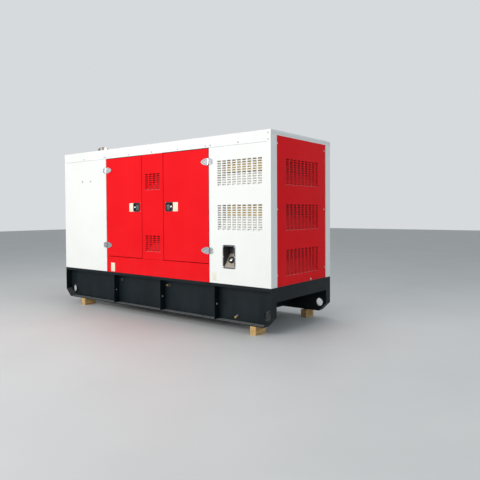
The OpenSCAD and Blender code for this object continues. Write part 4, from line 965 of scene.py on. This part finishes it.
for i, j in pairs(range(3), range(2)):
    y, z = GAUGE_STEP * i, GAUGE_Z - GAUGE_STEP * j
    on_door = facing((CAB_X, y, z), LEFT_WAY)
    rims.add(lathe([(0.033, 0), (0.038, 0), (0.0385, 0.004), (0.037, 0.007), (0.034, 0.0075),
                    (0.0325, 0.004), (0.033, 0)], 36), on_door)
    faces.add(lathe([(0, 0), (0.0328, 0), (0.0328, 0.003), (0, 0.003)], 36), on_door)
    dial = moved((CAB_X - 0.0034, y, z))
    for k in range(9):
        tick = dial @ Matrix.Rotation(math.radians(30 * k - 120), 4, "X") @ moved((0, 0, 0.0275))
        marks.add(soft_box((0.0008, 0.0014, 0.005), 0.0003, 1), tick)
    needle = dial @ Matrix.Rotation(math.radians(25 * i + 40 * j - 60), 4, "X")
    marks.add(soft_box((0.001, 0.0018, 0.028), 0.0004, 1), needle @ moved((-0.0008, 0, 0.01)))
    marks.add(lathe([(0, 0), (0.004, 0), (0.004, 0.0012), (0.003, 0.002), (0, 0.002)], 16),
              facing((CAB_X - 0.003, y, z), LEFT_WAY))
for i in range(4):
    lamps.add(lathe([(0, 0), (0.013, 0), (0.013, 0.004), (0.0105, 0.005), (0.0105, 0.01),
                     (0.007, 0.0135), (0, 0.0145)]), facing((CAB_X, -0.03 + 0.065 * i, 1.13), LEFT_WAY))
rims.finish("cabinet_gauge_rims", "black_plastic")
faces.finish("cabinet_gauge_faces", "white_paint", "cream_plate")
marks.finish("cabinet_gauge_marks", "black_plastic")
lamps.finish("cabinet_lamps", "black_plastic", "lamp_green")

# Batteries: clamps on the poles, vent caps between rims, a link and two leads to the deck
CLAMP = lathe([(0.0075, -0.016), (0.0135, -0.016), (0.014, -0.012), (0.0135, -0.003), (0.0095, 0.0),
               (0.0, 0.0006), (0.0, -0.002), (0.0075, -0.002), (0.0075, -0.016)], 20)
VENT_CAP = lathe([(0, 0), (0.009, 0), (0.009, 0.003), (0.007, 0.0045), (0, 0.0045)], 18)
BATTERIES = (1.157, 1.357)
LEAD_R = 0.0055
clamps, caps, leads = Parts(), Parts(), Parts()
for x in BATTERIES:
    for along in (0.3, 0.7):
        clamps.add(CLAMP, moved((x + 0.03, -0.467 + along * 0.21, 0.705)))
    for k in range(6):
        caps.add(VENT_CAP, facing((x + 0.09, -0.45 + 0.035 * k, 0.685), UP))
    for y in (-0.461, -0.263):
        caps.add(soft_box((0.17, 0.012, 0.014), 0.004), moved((x + 0.09, y, 0.688)))
leads.add(tube([(1.187, -0.320, 0.698), (1.2, -0.3, 0.712), (1.26, -0.29, 0.722), (1.34, -0.36, 0.722),
                (1.375, -0.4, 0.715), (1.387, -0.404, 0.698)], LEAD_R))
for x, y in ((1.187, -0.404), (1.387, -0.32)):
    leads.add(tube([(x, y, 0.7), (x - 0.02, y - 0.004, 0.712), (x - 0.045, y, 0.7),
                    (x - 0.052, y + 0.002, 0.66), (x - 0.05, y + 0.003, 0.58),
                    (x - 0.049, y + 0.002, DECK)], LEAD_R))
clamps.finish("battery_clamps", "hinge_metal", "brass")
caps.finish("battery_caps", "battery_case")
leads.finish("battery_leads", "black_plastic", "rubber")


# Stage, light and camera
FLOOR_HALF, FLOOR_COLOR, FLOOR_SHADE = 30, (0.62, 0.62, 0.61), (0.58, 0.58, 0.575)
# Name, place, target, size, watts and colour
LAMPS = (("key", (-0.7, -8.6, 3.9), (0.1, -0.6, 1.0), (6, 4), 610, (1, 0.985, 0.965)),
         ("fill", (7.5, 1.0, 4.0), (1.2, 0, 1.1), (4, 3), 90, (0.85, 0.93, 1)),
         ("top", (0.5, 0.5, 6.5), (0, 0, 1), (6, 3), 120, (0.95, 0.98, 1)))
CAMERA_AT, YAW, PITCH, ROLL = (4.537, -4.655, 1.233), 37.92, -1.415, -0.298
LENS, SHIFT = 37.99, (-0.0043, -0.0316)


def build_stage():
    data = bpy.data.meshes.new("floor")
    corners = [(i * FLOOR_HALF, j * FLOOR_HALF, 0) for i, j in ((-1, -1), (1, -1), (1, 1), (-1, 1))]
    data.from_pydata(corners, [], [(0, 1, 2, 3)])
    floor = bpy.data.objects.new("floor", data)
    bpy.context.scene.collection.objects.link(floor)
    mat, tree, shader = new_material("floor_paint", FLOOR_COLOR, 0.55)
    cloud = ramp(tree, noise(tree, 0.8, 4), 0.3, 0.7)
    tree.links.new(mix_color(tree, cloud, FLOOR_COLOR, FLOOR_SHADE), shader.inputs["Base Color"])
    data.materials.append(mat)


def build_world():
    """A soft sky on the object, and a plain pale backdrop for the camera and in mirrors and glass."""
    world = bpy.data.worlds.new("studio")
    bpy.context.scene.world = world
    world.use_nodes = True
    tree = world.node_tree
    tree.nodes.clear()
    path = node(tree, "ShaderNodeLightPath")
    seen = path.outputs["Is Camera Ray"]
    for ray in ("Is Transmission Ray", "Is Glossy Ray"):
        either = node(tree, "ShaderNodeMath", operation="MAXIMUM")
        tree.links.new(seen, either.inputs[0])
        tree.links.new(path.outputs[ray], either.inputs[1])
        seen = either.outputs["Value"]
    sky = node(tree, "ShaderNodeBackground", Color=(0.78, 0.88, 0.94, 1), Strength=0.42)
    backdrop = node(tree, "ShaderNodeBackground", Color=(0.68, 0.7, 0.72, 1), Strength=1.0)
    mixed = node(tree, "ShaderNodeMixShader")
    out = node(tree, "ShaderNodeOutputWorld")
    tree.links.new(seen, mixed.inputs["Fac"])
    tree.links.new(sky.outputs["Background"], mixed.inputs[1])
    tree.links.new(backdrop.outputs["Background"], mixed.inputs[2])
    tree.links.new(mixed.outputs["Shader"], out.inputs["Surface"])


def area_light(name, at, target, size, power, color):
    data = bpy.data.lights.new(name, "AREA")
    data.shape = "RECTANGLE"
    data.size, data.size_y = size
    data.energy = power
    data.color = color
    lamp = bpy.data.objects.new(name, data)
    bpy.context.scene.collection.objects.link(lamp)
    way = (Vector(target) - Vector(at)).normalized()
    lamp.matrix_world = moved(at) @ way.to_track_quat("-Z", "Y").to_matrix().to_4x4()


def build_camera():
    """The camera fitted to the corners of the canopy in the photo."""
    yaw, pitch, roll = math.radians(YAW), math.radians(PITCH), math.radians(ROLL)
    ahead = Vector((-math.sin(yaw) * math.cos(pitch), math.cos(yaw) * math.cos(pitch), math.sin(pitch)))
    level = Vector((math.cos(yaw), math.sin(yaw), 0))
    upright = level.cross(ahead)
    right = level * math.cos(roll) + upright * math.sin(roll)
    up = upright * math.cos(roll) - level * math.sin(roll)
    data = bpy.data.cameras.new("camera")
    data.sensor_width = 36
    data.lens = LENS
    data.shift_x, data.shift_y = SHIFT
    camera = bpy.data.objects.new("camera", data)
    bpy.context.scene.collection.objects.link(camera)
    camera.matrix_world = moved(CAMERA_AT) @ Matrix((right, up, -ahead)).transposed().to_4x4()
    bpy.context.scene.camera = camera


build_stage()
build_world()
for lamp in LAMPS:
    area_light(*lamp)
build_camera()
bpy.context.scene.view_settings.view_transform = "Standard"
